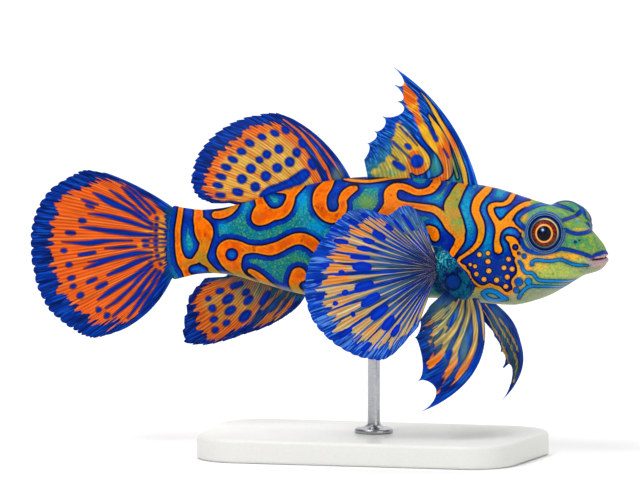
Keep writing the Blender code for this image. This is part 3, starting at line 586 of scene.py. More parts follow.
def skin_rings(rows):
    """Sections with corners evenly spaced along each quarter: bottom to top up the left, down the right."""
    angles = np.linspace(-0.5 * math.pi, 0.5 * math.pi, SECTION_ANGLES)
    radius, middle = section_radius(rows, angles)
    y, z = radius * np.cos(angles), middle + radius * np.sin(angles)
    quarter = len(angles) // 2
    share = np.linspace(0.0, 1.0, SKIN_QUARTER + 1)
    half = np.empty((len(rows), 2 * SKIN_QUARTER + 1, 2))
    for row in range(len(rows)):
        for start, put in ((0, 0), (quarter, SKIN_QUARTER)):
            line = np.column_stack((y[row], z[row]))[start:start + quarter + 1]
            travelled = np.concatenate(([0.0], np.cumsum(np.hypot(*np.diff(line, axis=0).T))))
            at = share * travelled[-1]
            half[row, put:put + SKIN_QUARTER + 1, 0] = np.interp(at, travelled, line[:, 0])
            half[row, put:put + SKIN_QUARTER + 1, 1] = np.interp(at, travelled, line[:, 1])
    left = half
    right = half[:, -2:0:-1] * (-1.0, 1.0)
    sides = np.concatenate((left, right), 1)
    x = np.broadcast_to(rows[:, 0][:, None, None], sides.shape[:2] + (1,))
    return np.concatenate((x, sides), 2)


def tail_cap(rings):
    """Rows that round off the tail stalk along a quarter circle, inside the foot of the tail fin."""
    first = rings[:1]
    middle = first.mean(1, keepdims=True)
    turns = np.linspace(0.5 * math.pi, 0.0, CAP_ROWS + 1)[:-1][:, None, None]
    cap = np.repeat(first, CAP_ROWS, 0)
    cap[..., 1:2] = first[..., 1:2] * np.maximum(np.cos(turns), CAP_EDGE)
    squeeze = 1.0 - CAP_SQUEEZE * np.sin(turns) ** 2
    cap[..., 2:3] = middle[..., 2:3] + (first[..., 2:3] - middle[..., 2:3]) * squeeze
    cap[..., 0:1] = first[..., 0:1] - CAP_LENGTH * np.sin(turns)
    return np.concatenate((cap, rings))


def eye_frame(side):
    """Centre of the orbit and unit vectors of an eye's aim, side and upper direction."""
    centre = np.array((EYE_CENTRE[0], side * EYE_CENTRE[1], EYE_CENTRE[2]))
    aim = np.array((EYE_AIM[0], side * EYE_AIM[1], EYE_AIM[2]))
    aim /= np.linalg.norm(aim)
    across = np.cross(aim, (0.0, 0.0, 1.0))
    across /= np.linalg.norm(across)
    return centre, aim, across, np.cross(across, aim)


# Height of the skin above the orbit's centre along the eye's aim, for distances from that axis
RIM = np.array(((0.0, 2.2), (1.2, 2.05), (1.7, 1.90), (1.95, 1.68), (2.08, 1.66), (2.22, 1.78), (2.38, 1.80),
                (2.54, 1.66), (2.75, 1.34), (3.05, 0.70)))


def shape_eyes(rings):
    """Rolls the skin into a rim round each eyeball and under it; also gives the distance from the axis."""
    ring = np.full(rings.shape[:2], NO_EYE)
    fine = through(RIM, np.linspace(0.0, len(RIM) - 1.0, 200))
    for side in (-1.0, 1.0):
        centre, aim, _, _ = eye_frame(side)
        offset = rings - centre
        height = offset @ aim
        out = np.linalg.norm(offset - height[..., None] * aim, axis=-1)
        ahead = height > 0.0
        ring = np.where(ahead, np.minimum(ring, out), ring)
        wanted = np.interp(out, fine[:, 0], fine[:, 1])
        share = np.where(ahead, 1.0 - smooth(out, *RIM_BLEND), 0.0)
        rings = rings + (share * (wanted - height))[..., None] * aim
    return rings, ring


def swell_flanks(rings):
    """Raises the fleshy bases of the pectoral fins.

    The flank follows an ellipsoid where that stands prouder: (a + b + sqrt((a - b)^2 + blend^2)) / 2.
    """
    side = np.sign(rings[..., 1])
    down = FLESH_CENTRE[2] - rings[..., 2]
    reach = ((rings[..., 0] - FLESH_CENTRE[0] - FLESH_SLANT * down) / FLESH_RADII[0]) ** 2 \
        + (down / FLESH_RADII[2]) ** 2
    proud = FLESH_CENTRE[1] + FLESH_RADII[1] * np.sqrt(np.clip(1.0 - reach, 0.0, 1.0))
    flank = abs(rings[..., 1])
    lobe = np.where(reach < 1.0, proud, 0.0)
    raised = 0.5 * (flank + lobe + np.sqrt((flank - lobe) ** 2 + FLESH_BLEND ** 2))
    share = smooth(1.3 - reach, 0.0, 0.5)
    result = rings.copy()
    result[..., 1] = side * (flank + share * (raised - flank))
    return result


def mouth_offset(sheet):
    """Distance below the line between the lips."""
    return sheet[..., 1] - np.interp(sheet[..., 0], *np.transpose(LIP_LINE))


def skin_detail(sheet, rings):
    """Height of the small forms over the skin, in millimetres.

    The mouth is a groove with a lip on each side; the nostril is a low tube with a pit; the gill
    opening is a pit high on the nape; soft waves keep the flesh from looking turned.
    """
    across, down = sheet[..., 0], sheet[..., 1]
    off = mouth_offset(sheet)
    front = smooth(across, *LIPS_FROM)
    mouth = front * (0.14 * bell(off + 2.8, 1.9) + 0.15 * bell(off - 3.4, 2.4) - 0.34 * bell(off, 1.0))
    nostril = np.hypot(across - NOSTRIL[0], down - NOSTRIL[1])
    tube = 0.10 * bell(nostril, 2.4) - 0.20 * bell(nostril, 1.1)
    gill = np.hypot(across - GILL[0], (down - GILL[1]) * 0.7)
    pit = 0.05 * bell(gill - 2.5, 1.4) - 0.16 * bell(gill, 1.7)
    cheek = -0.10 * bell(down - np.interp(across, *np.transpose(CHEEK_FOLD)), 2.2) \
        * smooth(across, 538.0, 552.0) * (1.0 - smooth(across, 586.0, 592.0))
    return mouth + tube + pit + cheek + 0.035 * waves(rings, 5.0, 4) + 0.012 * waves(rings, 1.3, 5)


def shifted_sheet(sheet, points):
    """The sheet as the left flank reads it: slid by gentle waves that fade out at the back's middle line."""
    share = smooth(points[..., 1], 0.2, 2.6)[..., None]
    wander = np.stack((waves(sheet, 70.0, 11), waves(sheet, 60.0, 12)), -1)
    head = smooth(sheet[..., 0], 500.0, 535.0)[..., None]
    return sheet + share * wander * (LEFT_SLIDE[0] + (LEFT_SLIDE[1] - LEFT_SLIDE[0]) * head)


def crown_share(points):
    """1 over the crown and the near half of the left orbit, 0 elsewhere.

    There the sheet isn't mirrored, so lines run across the head from one side to the other.
    """
    x, y, z = points.T
    return smooth(y, 0.0, 0.02) * (1.0 - smooth(y, 4.6, 5.8)) * smooth(x, 17.0, 20.0) * smooth(z, 28.2, 29.2)


def build_skin(material):
    rings = tail_cap(skin_rings(skin_stations()))
    rings, ring = shape_eyes(rings)
    rings = swell_flanks(rings)
    sheet = on_sheet(rings)
    rings = rings + grid_normals(rings, True) * skin_detail(sheet, rings)[..., None]
    first, last = rings[0].mean(0), rings[-1].mean(0) + (SNOUT_LEAD, 0.0, 0.0)
    points = np.vstack((rings.reshape(-1, 3), first, last))
    top, bottom = top_at(points[:, 0]), bottom_at(points[:, 0])
    level = (points[:, 2] - bottom) / (top - bottom)
    flat = shifted_sheet(on_sheet(points), points)
    lobe = smooth(-area_field(flat, LOBE_AREA), -1.0, 2.0) * smooth(abs(points[:, 1]), 2.0, 3.0)
    ring = np.concatenate((ring.ravel(), (NO_EYE, NO_EYE)))
    crown = crown_share(points)
    over = np.flatnonzero(crown > 0.0)
    seen = on_sheet(points[over], mirrored=False)

    def laid(measure):
        """A measure of the sheet over the whole skin, with the crown's own sheet blended in."""
        value = measure(flat)
        value[over] += crown[over] * (measure(seen) - value[over])
        return value

    head = laid(lambda sheet: area_field(sheet, HEAD_AREA))
    # bands are slimmer than their tables say: by 0.6 on the flank, 0.4 on the nape, nothing on the cheek
    before = smooth(flat[:, 0], 440.0, 470.0)
    slim = 0.6 - before * (0.2 + 0.4 * smooth(flat[:, 1], 245.0, 258.0))
    warm = np.minimum(laid(lambda sheet: stroke_field(sheet, BANDS)) + slim, head)
    under = smooth(0.075 - level, 0.0, 0.06) * smooth(points[:, 0], -23.0, -16.0) \
        * (1.0 - 0.75 * smooth(points[:, 0], 17.0, 21.0))
    values = {
        "warm": np.clip(warm + lobe * LOBE_CLEAR, -FAR_REACH, FAR_REACH),
        "mark": laid(lambda sheet: stroke_field(sheet, MARKS, join=1.5)) + 0.2 + lobe * LOBE_CLEAR,
        "dot": stroke_field(flat, DOTS, join=0.5) + lobe * LOBE_CLEAR,
        "ring": ring,
        "lobe": lobe,
        "lobe_ring": np.hypot(*(flat - LOBE_EYE).T),
        "belly": under,
        "head": smooth(-head, -1.0, 3.0),
        "slit": np.hypot(mouth_offset(flat), 0.8 * np.maximum(LIPS_FROM[1] - flat[:, 0], 0.0)),
    }
    for key, blobs in SOFT_MARKS.items():
        values[key] = laid(lambda sheet: soft_mask(sheet, blobs))
    mesh = ring_stack("skin", rings, first, last, values)
    add_piece("skin", mesh, material, "skin", "head", "lower_jaw", "trunk_front", "trunk_rear", "tail_stalk",
              "pectoral_base_right", "pectoral_base_left")


# ---------------------------------------------------------------- eyes

def build_eye(side, word, material):
    """An eyeball: a sphere about the eye's aim, with the cornea raised over the iris as a bell curve."""
    centre, aim, across, over = eye_frame(side)
    bend = np.linspace(0.004, 0.94, EYE_RINGS)[::-1] * math.pi
    turn = np.linspace(0.0, 2.0 * math.pi, EYE_COLUMNS, endpoint=False)
    bend, turn = np.meshgrid(bend, turn, indexing="ij")
    out = EYE_RADIUS * np.sin(bend)
    ahead = bend < 0.5 * math.pi
    radius = EYE_RADIUS + np.where(ahead, CORNEA_RISE * bell(out, CORNEA_WIDTH), 0.0)
    handed = turn * side
    local = np.stack((np.sin(bend) * np.cos(handed), np.sin(bend) * np.sin(handed), np.cos(bend)), -1)
    local *= radius[..., None]
    local[..., 2] += EYE_PROUD
    rings = centre + local @ np.array((across, over, aim))
    first = centre + aim * (EYE_PROUD - EYE_RADIUS)
    last = centre + aim * (EYE_PROUD + EYE_RADIUS + CORNEA_RISE)
    edge = np.where(ahead, out, NO_EYE)
    values = {
        "out": np.concatenate((edge.ravel(), (NO_EYE, 0.0))),
        "turn_x": np.concatenate((side * np.cos(turn).ravel(), (1.0, 1.0))),
        "turn_y": np.concatenate((side * np.sin(turn).ravel(), (0.0, 0.0))),
    }
    mesh = ring_stack("eyeball_" + word, rings, first, last, values)
    add_piece("eyeball_" + word, mesh, material, "eye", "eye_" + word)


# ---------------------------------------------------------------- fins

def fin_surface(roots, tips, bows, notches, columns, rows, billow, slide, sink, ruffle, teeth):
    """The middle surface of a fin, as rows from foot to margin, with each point's step, reach and length.

    Between rays the roots, tips and bows follow smooth curves. Along a ray the surface is
    root + chord t + (2 bow normal + slide chord) 2 t (1 - t), pushed sideways by billow sin(pi t). The
    margin draws back by its notch between two rays and is cut into teeth (count for each gap, depth,
    kind): scallops take 1 - |sin(pi f)|^0.6 of the depth and shingles (1 - f)^1.2, f running from 0 to
    1 over each tooth. Sink carries the foot into the body, and ruffle waves the margin sideways.
    """
    count = len(roots)
    steps = np.linspace(0.0, count - 1.0, (count - 1) * columns + 1)
    root, tip = through(roots, steps), through(tips, steps)
    bow = through(np.asarray(bows, float)[:, None], steps)
    notch = np.broadcast_to(notches, count - 1)[np.minimum(steps.astype(int), count - 2)]
    reach = 1.0 - notch * np.sqrt(abs(np.sin(math.pi * steps)))
    chord = tip - root
    length = np.linalg.norm(chord, axis=1)
    part = (steps * teeth[0]) % 1.0
    if teeth[2] == "scallop":
        cut = 1.0 - abs(np.sin(math.pi * part)) ** 0.6
    else:
        cut = (1.0 - part) ** 1.2
    uneven = 0.75 + 0.25 * np.sin(2.3 * np.floor(steps * teeth[0]) + 1.7 * steps)
    reach = reach - teeth[1] * cut * uneven / length
    flat = np.hypot(chord[:, 0], chord[:, 2])
    normal = np.column_stack((chord[:, 2], np.zeros_like(flat), -chord[:, 0])) / flat[:, None]
    close = np.linspace(1.0, 0.0, MARGIN_ROWS)[1:] ** MARGIN_POWER
    v = np.concatenate((np.linspace(0.0, MARGIN_FROM, rows), 1.0 - (1.0 - MARGIN_FROM) * close))
    start = -sink / length
    t = (start + v[:, None] * (reach - start))[..., None]
    bent = 2.0 * t * (1.0 - t)
    sheet = root + chord * t + (normal * bow * 2.0 + chord * slide) * bent
    sheet[..., 1] += billow * np.sin(math.pi * np.clip(t[..., 0] / reach, 0.0, 1.0))
    wave = np.sin(2.0 * math.pi * steps * ruffle[1])
    sheet[..., 1] += ruffle[0] * wave * np.clip(t[..., 0], 0.0, 1.0) ** 2
    return sheet, np.broadcast_to(steps, t.shape[:2]), t[..., 0] / reach, length * reach


def fin_shell(name, surface, steps, share, length, fine, bones, flesh, values):
    """A closed shell on both sides of a fin's middle surface.

    Its half thickness is a thin membrane, plus a rounded bone at every ray, finer bones between
    them that fade in towards the margin, and flesh at the foot that falls off as exp(-distance / reach).
    It goes to nothing, along a quarter circle, at the margin and at both edges.
    """
    rows, columns = surface.shape[:2]
    ray = abs(steps - np.round(steps))
    small = abs(steps * fine - np.round(steps * fine))
    thick = MEMBRANE + bones * bell(ray, RAY_WIDTH) * (1.0 - 0.6 * np.clip(share, 0.0, 1.0))
    thick += FINE_SHARE * bones * bell(small, FINE_WIDTH)
    thick += flesh[0] * np.exp(-np.clip(share, 0.0, None) * length / flesh[1])
    last = steps[0, -1]
    gaps = (np.minimum(steps, last - steps), (1.0 - share) * length, np.linspace(0.0, 1.0, rows)[:, None])
    for gap, reach in zip(gaps, FIN_EDGE):
        thick = thick * np.sqrt(1.0 - (1.0 - np.clip(gap / reach, 0.0, 1.0)) ** 2)
    normal = grid_normals(surface, False)
    front = surface + normal * thick[..., None]
    back = surface - normal * thick[..., None]
    front_index = np.arange(rows * columns).reshape(rows, columns)
    inner = np.zeros((rows, columns), bool)
    inner[1:-1, 1:-1] = True
    back_index = front_index.copy()
    back_index[inner] = rows * columns + np.arange(inner.sum())
    points = np.vstack((front.reshape(-1, 3), back[inner]))
    quads, layouts = [], []
    r, c = np.meshgrid(np.arange(rows - 1), np.arange(columns - 1), indexing="ij")
    corners = ((0, 0), (0, 1), (1, 1), (1, 0))
    for index, order, shift in ((front_index, corners, 0.0), (back_index, corners[::-1], 0.5)):
        quads.append(np.stack([index[r + dr, c + dc] for dr, dc in order], -1).reshape(-1, 4))
        layouts.append(np.stack([
            np.stack(((c + dc) / (columns - 1) * 0.49 + shift, (r + dr) / (rows - 1)), -1)
            for dr, dc in order], 2).reshape(-1, 2))
    held = {key: np.concatenate((value.ravel(), value[inner])) for key, value in values.items()}
    none = np.empty((0, 3), int)
    return build_mesh(name, points, np.vstack(quads), none, np.vstack(layouts), held)


def build_fin(name, node, material, slot, roots, tips, bows, notches, paint, columns, rows, fine, bones,
              ruffle, billow=0.0, slide=0.0, sink=0.9, flesh=(0.18, 0.5), teeth=(1, 0.0, "scallop"),
              mirrored=False):
    """A fin with its painted values.

    Paint gives the distances from the warm field's edge and from the marks, and the shares of red and leaf.
    """
    surface, steps, share, length = fin_surface(roots, tips, bows, notches, columns, rows, billow, slide,
                                                sink, ruffle, teeth)
    flat = on_sheet(surface, mirrored).reshape(-1, 2)
    margin = ((1.0 - share) * length / SHEET_UNIT).ravel()
    warm, mark, red, leaf = paint(FinPlaces(flat, margin, steps.ravel(), share.ravel()))
    shape = steps.shape
    near_margin = smooth(LOOSE_DEPTH[0] - margin, 0.0, LOOSE_DEPTH[1])
    values = {
        "warm": np.clip(warm, -FAR_REACH, FAR_REACH).reshape(shape),
        "mark": np.clip(mark, -FAR_REACH, FAR_REACH).reshape(shape),
        "red": np.clip(red, 0.0, 1.0).reshape(shape),
        "leaf": np.clip(leaf, 0.0, 1.0).reshape(shape),
        "loose": LOOSE_FOOT + (1.0 - LOOSE_FOOT) * near_margin.reshape(shape),
        "ray": steps * fine,
        "along": share,
    }
    mesh = fin_shell(name, surface, steps, share, length, fine, bones, flesh, values)
    add_piece(name, mesh, material, slot, node)


SAIL_BANDS = (
    ((421, 92, 0.6), (428, 101, 1.3), (435, 112, 1.8), (442, 124, 2), (449, 136, 2.6), (455, 148, 2.6),
     (460, 160, 2.4), (464, 171, 2.4), (467, 185, 2)),
    ((429, 115, 0.8), (433, 122, 2), (438, 130, 3.2), (442, 138, 4), (446, 146, 3.6), (450, 155, 1.8),
     (454, 165, 1.3), (458, 178, 1)),
    ((403.5, 82, 1), (407, 90, 4), (411, 99, 6.8), (413.5, 107, 5.4), (418, 117, 3.8), (423, 127, 4.6),
     (430, 137, 5.8), (437, 146, 6), (442, 154, 4.8), (446, 162, 4.4), (448, 170, 4.4), (446, 176, 4),
     (439, 179, 2.6), (430, 181, 1.6)),
)
SAIL_FIELD = (
    (400, 122), (409, 132), (419, 143), (427, 152), (431, 160), (430.5, 167), (425, 173), (417, 175.3),
    (411, 173), (412, 182), (396, 181), (380, 179), (370, 178), (373, 170), (382, 163), (387, 156),
    (392, 148), (391, 139), (396, 134), (396.5, 127),
)
SAIL_EYE = (417.4, 161.2)
SAIL_SPOTS = spots((
    (417.4, 161.2, 6.7, 6.6, 0), (408.2, 146.5, 4.6, 2.7, 38), (399.2, 165.6, 8.2, 3.1, 34),
    (404, 131, 7, 0.7, 50), (402, 150, 13, 0.8, 45), (389, 153, 12, 0.7, 38), (412, 139, 9, 0.6, 48),
    (394, 143, 8, 0.6, 45), (433, 133, 8.6, 1.9, 62), (436, 138, 4.5, 2.4, 65), (446, 153, 6, 1, 60),
))
SOFT_FIELD = (
    (277, 121), (288, 126.5), (298, 136), (307, 149), (314.5, 161), (319.5, 171), (323, 181), (324, 190),
    (310, 196), (285, 202), (262, 206), (240, 206), (226, 205), (214, 200), (205, 195), (203, 186),
    (204, 176), (208, 166), (216, 154), (226, 146), (238, 136), (252, 127), (266, 121.5),
)
SOFT_BANDS = (
    ((284, 119.5, 0.6), (296, 128, 1.4), (308, 141, 1.8), (318, 155, 1.9), (326, 168, 1.7),
     (332, 181, 1.2)),
    ((296, 122, 0.4), (311, 135, 0.8), (325, 151, 0.9), (337, 167, 0.9), (346, 181, 0.7)),
)
SOFT_SPOTS = spots((
    (285.7, 130, 5.6, 3.6, 45), (275, 133, 5.6, 3.3, 25), (262, 137, 5.2, 3.1, 25),
    (249.7, 143, 6.2, 3.6, 25), (241.5, 151.5, 5.7, 3.6, 20), (233, 159.4, 6.2, 3.4, 20),
    (226, 167, 6.2, 3.2, 20), (221, 176.6, 6.4, 3.1, 18), (218, 185.3, 6.2, 3, 12),
    (220.5, 195, 6, 2.8, 10), (302.5, 143.6, 5.8, 4, 60), (279, 149, 5.6, 4.6, 45),
    (267, 154.3, 5.6, 4.6, 40), (259.5, 160, 4.8, 3.6, 30), (251, 168.5, 6.2, 4.9, 20),
    (242, 179, 6.2, 5, 20), (238, 191.7, 6.8, 4, 15), (297, 152.5, 6, 4.3, 60), (290, 161.8, 5.2, 5, 60),
    (277.3, 168, 5.8, 5, 0), (266, 176, 5.8, 5, 0), (255.3, 187, 5.6, 5, 0), (312.3, 164, 6.9, 4.1, 60),
    (326, 177, 7, 1.6, 80),
)) + [
    ((263, 195, 3.4), (270, 190.8, 4.4), (280, 187, 4.4), (292, 182, 5), (300, 178, 6), (304.5, 174.3, 6)),
    ((223, 202.5, 1.2), (230, 202.6, 2.4), (239, 203.4, 1.4)),
]
VENT_FIELD = (
    (195, 299), (203, 288), (213, 281), (225, 276), (240, 274), (258, 280), (271, 286), (266, 299),
    (257, 313), (249, 322), (238, 329), (226, 334.5), (212, 338.5), (204, 333), (198, 325), (196.5, 312),
)
VENT_BANDS = (
    ((254, 327, 0.9), (266, 319.5, 2.3), (276, 310.5, 2), (284, 300, 1), (290, 292, 0.8)),
    ((267, 323.5, 0.9), (280, 314.5, 2), (289, 304.5, 1.7), (298, 293, 0.9)),
    ((262, 309, 1.4), (271, 301, 1.8), (282, 289, 1.2)),
)
VENT_SPOTS = spots((
    (237, 285, 7.6, 3.2, -20), (220, 291, 5, 3.1, -20), (228, 299, 7.6, 4.2, -35),
    (246, 292.3, 4.8, 3.3, -30), (208.5, 298.7, 3.6, 2.6, -20), (248.7, 300, 6.6, 3.5, -42),
    (212.5, 308.3, 4.8, 3.8, -30), (230.5, 310.5, 7.2, 4, -35), (265, 298, 9.4, 3.2, -55),
    (214, 319.3, 4.8, 3.1, -25), (245, 316, 8.4, 4.4, -46), (226.7, 323, 5, 3.3, -30),
    (215.3, 330, 4.6, 3.3, -25),
))
TAIL_FIELD = (
    (92, 181), (108, 178.5), (126, 183.5), (141, 193.5), (153, 202), (161, 209), (165.5, 216), (166, 228),
    (166, 240), (166, 253), (165.5, 264), (161, 278), (151, 299), (141, 311), (129, 324), (118, 319),
    (106, 324), (95, 322), (82, 313), (70, 303), (61, 288), (55, 272), (52, 252), (51, 233), (57, 212),
    (66, 199), (79, 188),
)
TAIL_STREAKS = [
    ((152, 224, 1.5), (130, 211, 2.2), (112, 203, 3), (100, 196, 2), (93, 193, 0.5)),
    ((152, 229, 1.2), (130, 222, 2), (112, 217, 2.2), (97, 214.5, 1.6), (88, 214, 0.5)),
    ((152, 235, 1.4), (128, 233, 2.6), (108, 231, 2.4), (92, 228.5, 1.8), (80, 227.5, 0.5)),
    ((132, 240.5, 0.6), (115, 240.5, 1.4), (100, 241.5, 2.6), (88, 243, 2.4), (70, 242.5, 1),
     (62, 242, 0.4)),
    ((136, 246.5, 1), (125, 247, 1.6), (112, 248, 1), (105, 248.5, 0.4)),
    ((152, 252, 1), (135, 253.5, 2.6), (118, 257, 2.4), (100, 260.5, 1.6), (88, 262, 0.5)),
    ((152, 256, 1), (138, 261, 2.4), (122, 269, 2.4), (108, 275, 1.4)),
    ((84, 268.5, 0.5), (95, 265, 1.8), (106, 261.5, 1.5), (118, 258, 0.8)),
    ((152, 262, 1.2), (136, 275, 2), (122, 284, 2.6), (108, 293, 2.4), (98, 300, 0.8)),
    ((152, 266, 1.4), (140, 278, 2), (132, 287, 1.6), (118, 300, 1.8), (106, 308, 0.8)),
    ((156, 270, 1.6), (146, 282, 2.2), (136, 296, 2.6), (124, 307, 2), (113, 316, 1)),
    ((160, 272, 2), (152, 285, 2), (143, 298, 2.2), (135, 309, 1.8), (128, 318, 1)),
    ((163, 276, 2), (156, 290, 2), (147, 302, 2), (140, 312, 1)),
    ((150, 214, 1.5), (138, 202, 2), (128, 192, 2), (122, 187, 0.8)),
    ((155, 212, 1.5), (146, 203, 1.5), (136, 193, 1.6), (127, 186, 0.8)),
    ((148, 219, 1), (135, 208, 1.5), (122, 198, 1.6), (110, 190, 0.8)),
    ((82, 199, 0.7), (90, 202, 1.5), (98, 204.5, 0.7)),
] + [
    # short streaks that fan out over the root
    ((149, 241.5 + 1.1 * off, 0.1), (158, 241.5 + off, 0.4), (167, 241.5 + 0.84 * off, 1.0))
    for off in (-20, -14, -8.2, -3.1, 1.3, 5.7, 11.1, 18)
] + spots((
    (82.5, 220.5, 4.6, 2.6, 5), (70.5, 233, 5.8, 2.2, 3), (64, 250.7, 4.2, 2.7, 0),
    (87, 253.5, 9.5, 1.9, -10), (69, 264.5, 4.3, 2.8, -10), (71.5, 278, 4.8, 2.5, -15),
    (73.3, 286.3, 3.7, 2.5, -20), (80.5, 295.5, 4.6, 3, -25), (92, 280.5, 6.6, 2, -25),
    (101.5, 285.5, 7.4, 2.2, -27), (98.5, 309.5, 3.4, 2.8, -35), (107, 315.5, 4, 2.9, -40),
    (90, 206.5, 5.5, 1.7, 20), (145.5, 240.7, 4, 1.7, 0), (146, 245.5, 3.6, 1.5, 0),
    (157, 218.5, 2.4, 1.9, 20), (156.7, 224.5, 2.4, 1.9, 10), (156, 230.5, 2.5, 1.9, 5),
    (156, 236, 2.5, 1.8, 0), (156, 240.8, 2.4, 1.5, 0), (156, 244.8, 2.2, 1.4, 0),
    (156.5, 249.7, 2.4, 1.7, 0), (157.5, 255.5, 2.6, 1.9, -10), (161, 264, 2.2, 1.7, -20),
))
BREAST_SPOTS = spots((
    (379, 235, 8.6, 3.9, 30), (389, 227.5, 5.6, 2.7, 35), (368.5, 241, 7.2, 3.4, 15),
    (364, 249, 8.4, 3.4, 8), (360, 257.3, 11.2, 2.7, 3), (362, 267, 11.4, 5.4, 2),
    (364, 286, 11.8, 5.6, -20), (370.5, 300, 12.4, 5, -30), (379.5, 312.5, 12.2, 4.8, -42),
    (388, 323, 10.4, 4.4, -50), (395.5, 331, 8.2, 3.6, -55), (341.5, 272.7, 4.3, 3.2, 0),
    (345, 292.5, 4.2, 3.7, 0), (335.5, 303.7, 3.8, 3, -25), (353, 314.5, 3.5, 3, -30),
    (324.5, 265, 5.7, 3.1, 0), (341, 241.5, 8.2, 2.9, 8), (354, 221.5, 6.8, 3.1, 20),
    (364.5, 215.5, 4.8, 2.7, 30), (317.5, 281, 5.4, 3.6, 0), (320, 297.5, 5.4, 2.8, -20),
    (333, 230, 5.6, 2.2, 15), (345, 333, 9.4, 3.8, -30), (366, 347, 7.4, 3.6, -45), (408, 222, 11, 2.6, 55),
    (399, 226, 9, 1.8, 50),
))
BELLY_BANDS = (
    ((459, 300, 1), (452, 311, 2), (445, 320, 2.5), (438, 329, 2.8), (433, 336, 1.8)),
    ((463, 300, 1.1), (461, 314, 2), (457, 325, 2.4), (450, 335, 2.6), (445, 345, 3), (440, 354, 3),
     (435, 362, 3), (430, 369, 1.4), (428, 373, 0.5)),
    ((468, 300, 1), (468, 313, 1.9), (465, 326, 2.2), (460, 338, 2.4), (456, 348, 2.6), (454, 358, 3.4),
     (451, 368, 3.8), (446, 378, 2.6), (441, 387, 1.5), (437, 393, 0.5)),
    ((471, 301, 1), (474, 313, 1.8), (475.5, 325, 2), (476, 336, 2), (474, 347, 2.2), (470, 356, 2.6),
     (465, 365, 3), (461, 372, 2.8), (456, 380, 2), (450, 387, 1.2), (446, 391, 0.5)),
    ((454, 303, 1), (444, 311, 2), (437, 317, 2.6), (430, 323, 2), (423, 330, 0.8)),
    ((437, 332, 1.5), (433, 338, 2), (429, 346, 0.8)), ((435, 347, 1), (433, 354, 2.3), (428, 363, 0.7)),
    ((446, 328, 1.2), (441, 337, 2.6), (436, 346, 2.4), (433, 351, 1)),
    ((477, 301, 0.4), (481, 312, 0.6), (483, 326, 0.6), (484, 340, 0.5)),
)
BELLY_SPOTS = spots((
    (449, 355, 6.2, 2.8, -72), (441, 366, 3.5, 2.2, -60), (452, 320, 8, 1.6, -72),
))
FAR_BELLY_BANDS = (
    ((486, 303, 0.6), (494, 315, 1), (501, 327, 1.1), (508, 340, 1), (513, 350, 1), (517, 361, 1.5),
     (516.5, 372, 1.2), (514, 382, 0.6)),
    ((500, 318, 0.5), (508, 330, 0.8), (515, 342, 1), (519, 352, 0.6)),
    ((503, 345, 0.6), (505, 353, 1.6), (504, 361, 0.8)),
    ((484, 310, 0.5), (493, 325, 0.8), (502, 342, 0.7), (508, 358, 0.9), (511, 372, 0.8)),
)


# Where the points of a fin lie: on the sheet, how far from the margin in its units, among the rays, and how
# much of the way from foot to margin
FinPlaces = namedtuple("FinPlaces", "flat margin steps share")


def outer_rays(steps):
    """OUTER_BLUE on the first and last ray, falling to nothing half a gap in."""
    return OUTER_BLUE * (1.0 - smooth(np.minimum(steps, steps.max() - steps), 0.0, 0.5))


def paint_sail(at):
    """First dorsal fin: a field behind three bands that follow the leading edge."""
    flat = at.flat
    field = (0.5 + 0.4 * smooth(at.margin, 12.0, 36.0)) * area_field(flat, SAIL_FIELD) + 0.6
    warm = np.minimum(0.9 * stroke_field(flat, SAIL_BANDS, join=1.5), field)
    mark = stroke_field(flat, SAIL_SPOTS, join=0.8)
    eye = np.hypot(*(flat - SAIL_EYE).T)
    red = soft_mask(flat, ((410, 94, 9, 13, 1.0), (447, 170, 8, 9, 0.85), (436, 148, 14, 12, 0.4),
                           (418, 116, 7, 12, 0.8), (417, 169, 12, 8, 0.9), (441, 179, 12, 4, 0.8),
                           (442, 156, 8, 14, 0.8), (451, 140, 9, 26, 0.6)))
    red = np.maximum(red, 0.9 * bell(eye - 9.0, 3.0)) * (1.0 - 0.8 * bell(flat[:, 0] - 427.0, 5.0)
                                                         * (flat[:, 1] < 162.0))
    leaf = soft_mask(flat, ((386, 170, 20, 10, 1.0), (436, 166, 6, 9, 1.0), (455, 168, 5, 14, 1.0),
                            (396, 150, 9, 12, 0.6), (400, 158, 12, 9, 0.5), (386, 156, 9, 8, 0.6),
                            (458, 178, 5, 6, 1.0), (402, 134, 8, 10, 0.4)))
    return warm, mark, red, leaf


def paint_soft(at):
    """Second dorsal fin: amber with blue spots, redder to the rear margin."""
    flat = at.flat
    field = area_field(flat, SOFT_FIELD) + 1.5
    warm = np.minimum(field, 1.6 * stroke_field(flat, SOFT_BANDS, join=0.5))
    red = smooth(field, -19.0, -2.0) * (1.0 - 0.6 * smooth(flat[:, 1], 190.0, 204.0))
    red = np.maximum(red, 0.5 * smooth(flat[:, 0], 304.0, 322.0) * smooth(flat[:, 1], 150.0, 176.0))
    leaf = soft_mask(flat, ((302, 184, 8, 4, 0.7), (338, 176, 5, 10, 0.8), (290, 145, 10, 7, 0.3),
                            (268, 156, 40, 24, 0.25)))
    return warm + outer_rays(at.steps), stroke_field(flat, SOFT_SPOTS, join=0.5), red, leaf


def paint_vent(at):
    """Anal fin: orange with blue spots, greenish towards its front."""
    flat = at.flat
    field = area_field(flat, VENT_FIELD)
    warm = np.minimum(field, 1.8 * stroke_field(flat, VENT_BANDS, join=0.5) - 0.4)
    red = 0.45 + 0.5 * smooth(field, -14.0, -4.0) - 0.3 * smooth(flat[:, 0], 232.0, 262.0)
    leaf = soft_mask(flat, ((232, 279, 20, 4, 0.8), (262, 294, 14, 14, 0.6), (272, 304, 16, 10, 0.6),
                            (250, 286, 14, 6, 0.4), (256, 318, 9, 6, 0.5)))
    leaf = np.maximum(leaf, 1.0 - smooth(at.share, 0.04, 0.30))
    return warm + outer_rays(at.steps), stroke_field(flat, VENT_SPOTS, join=0.5), red, leaf


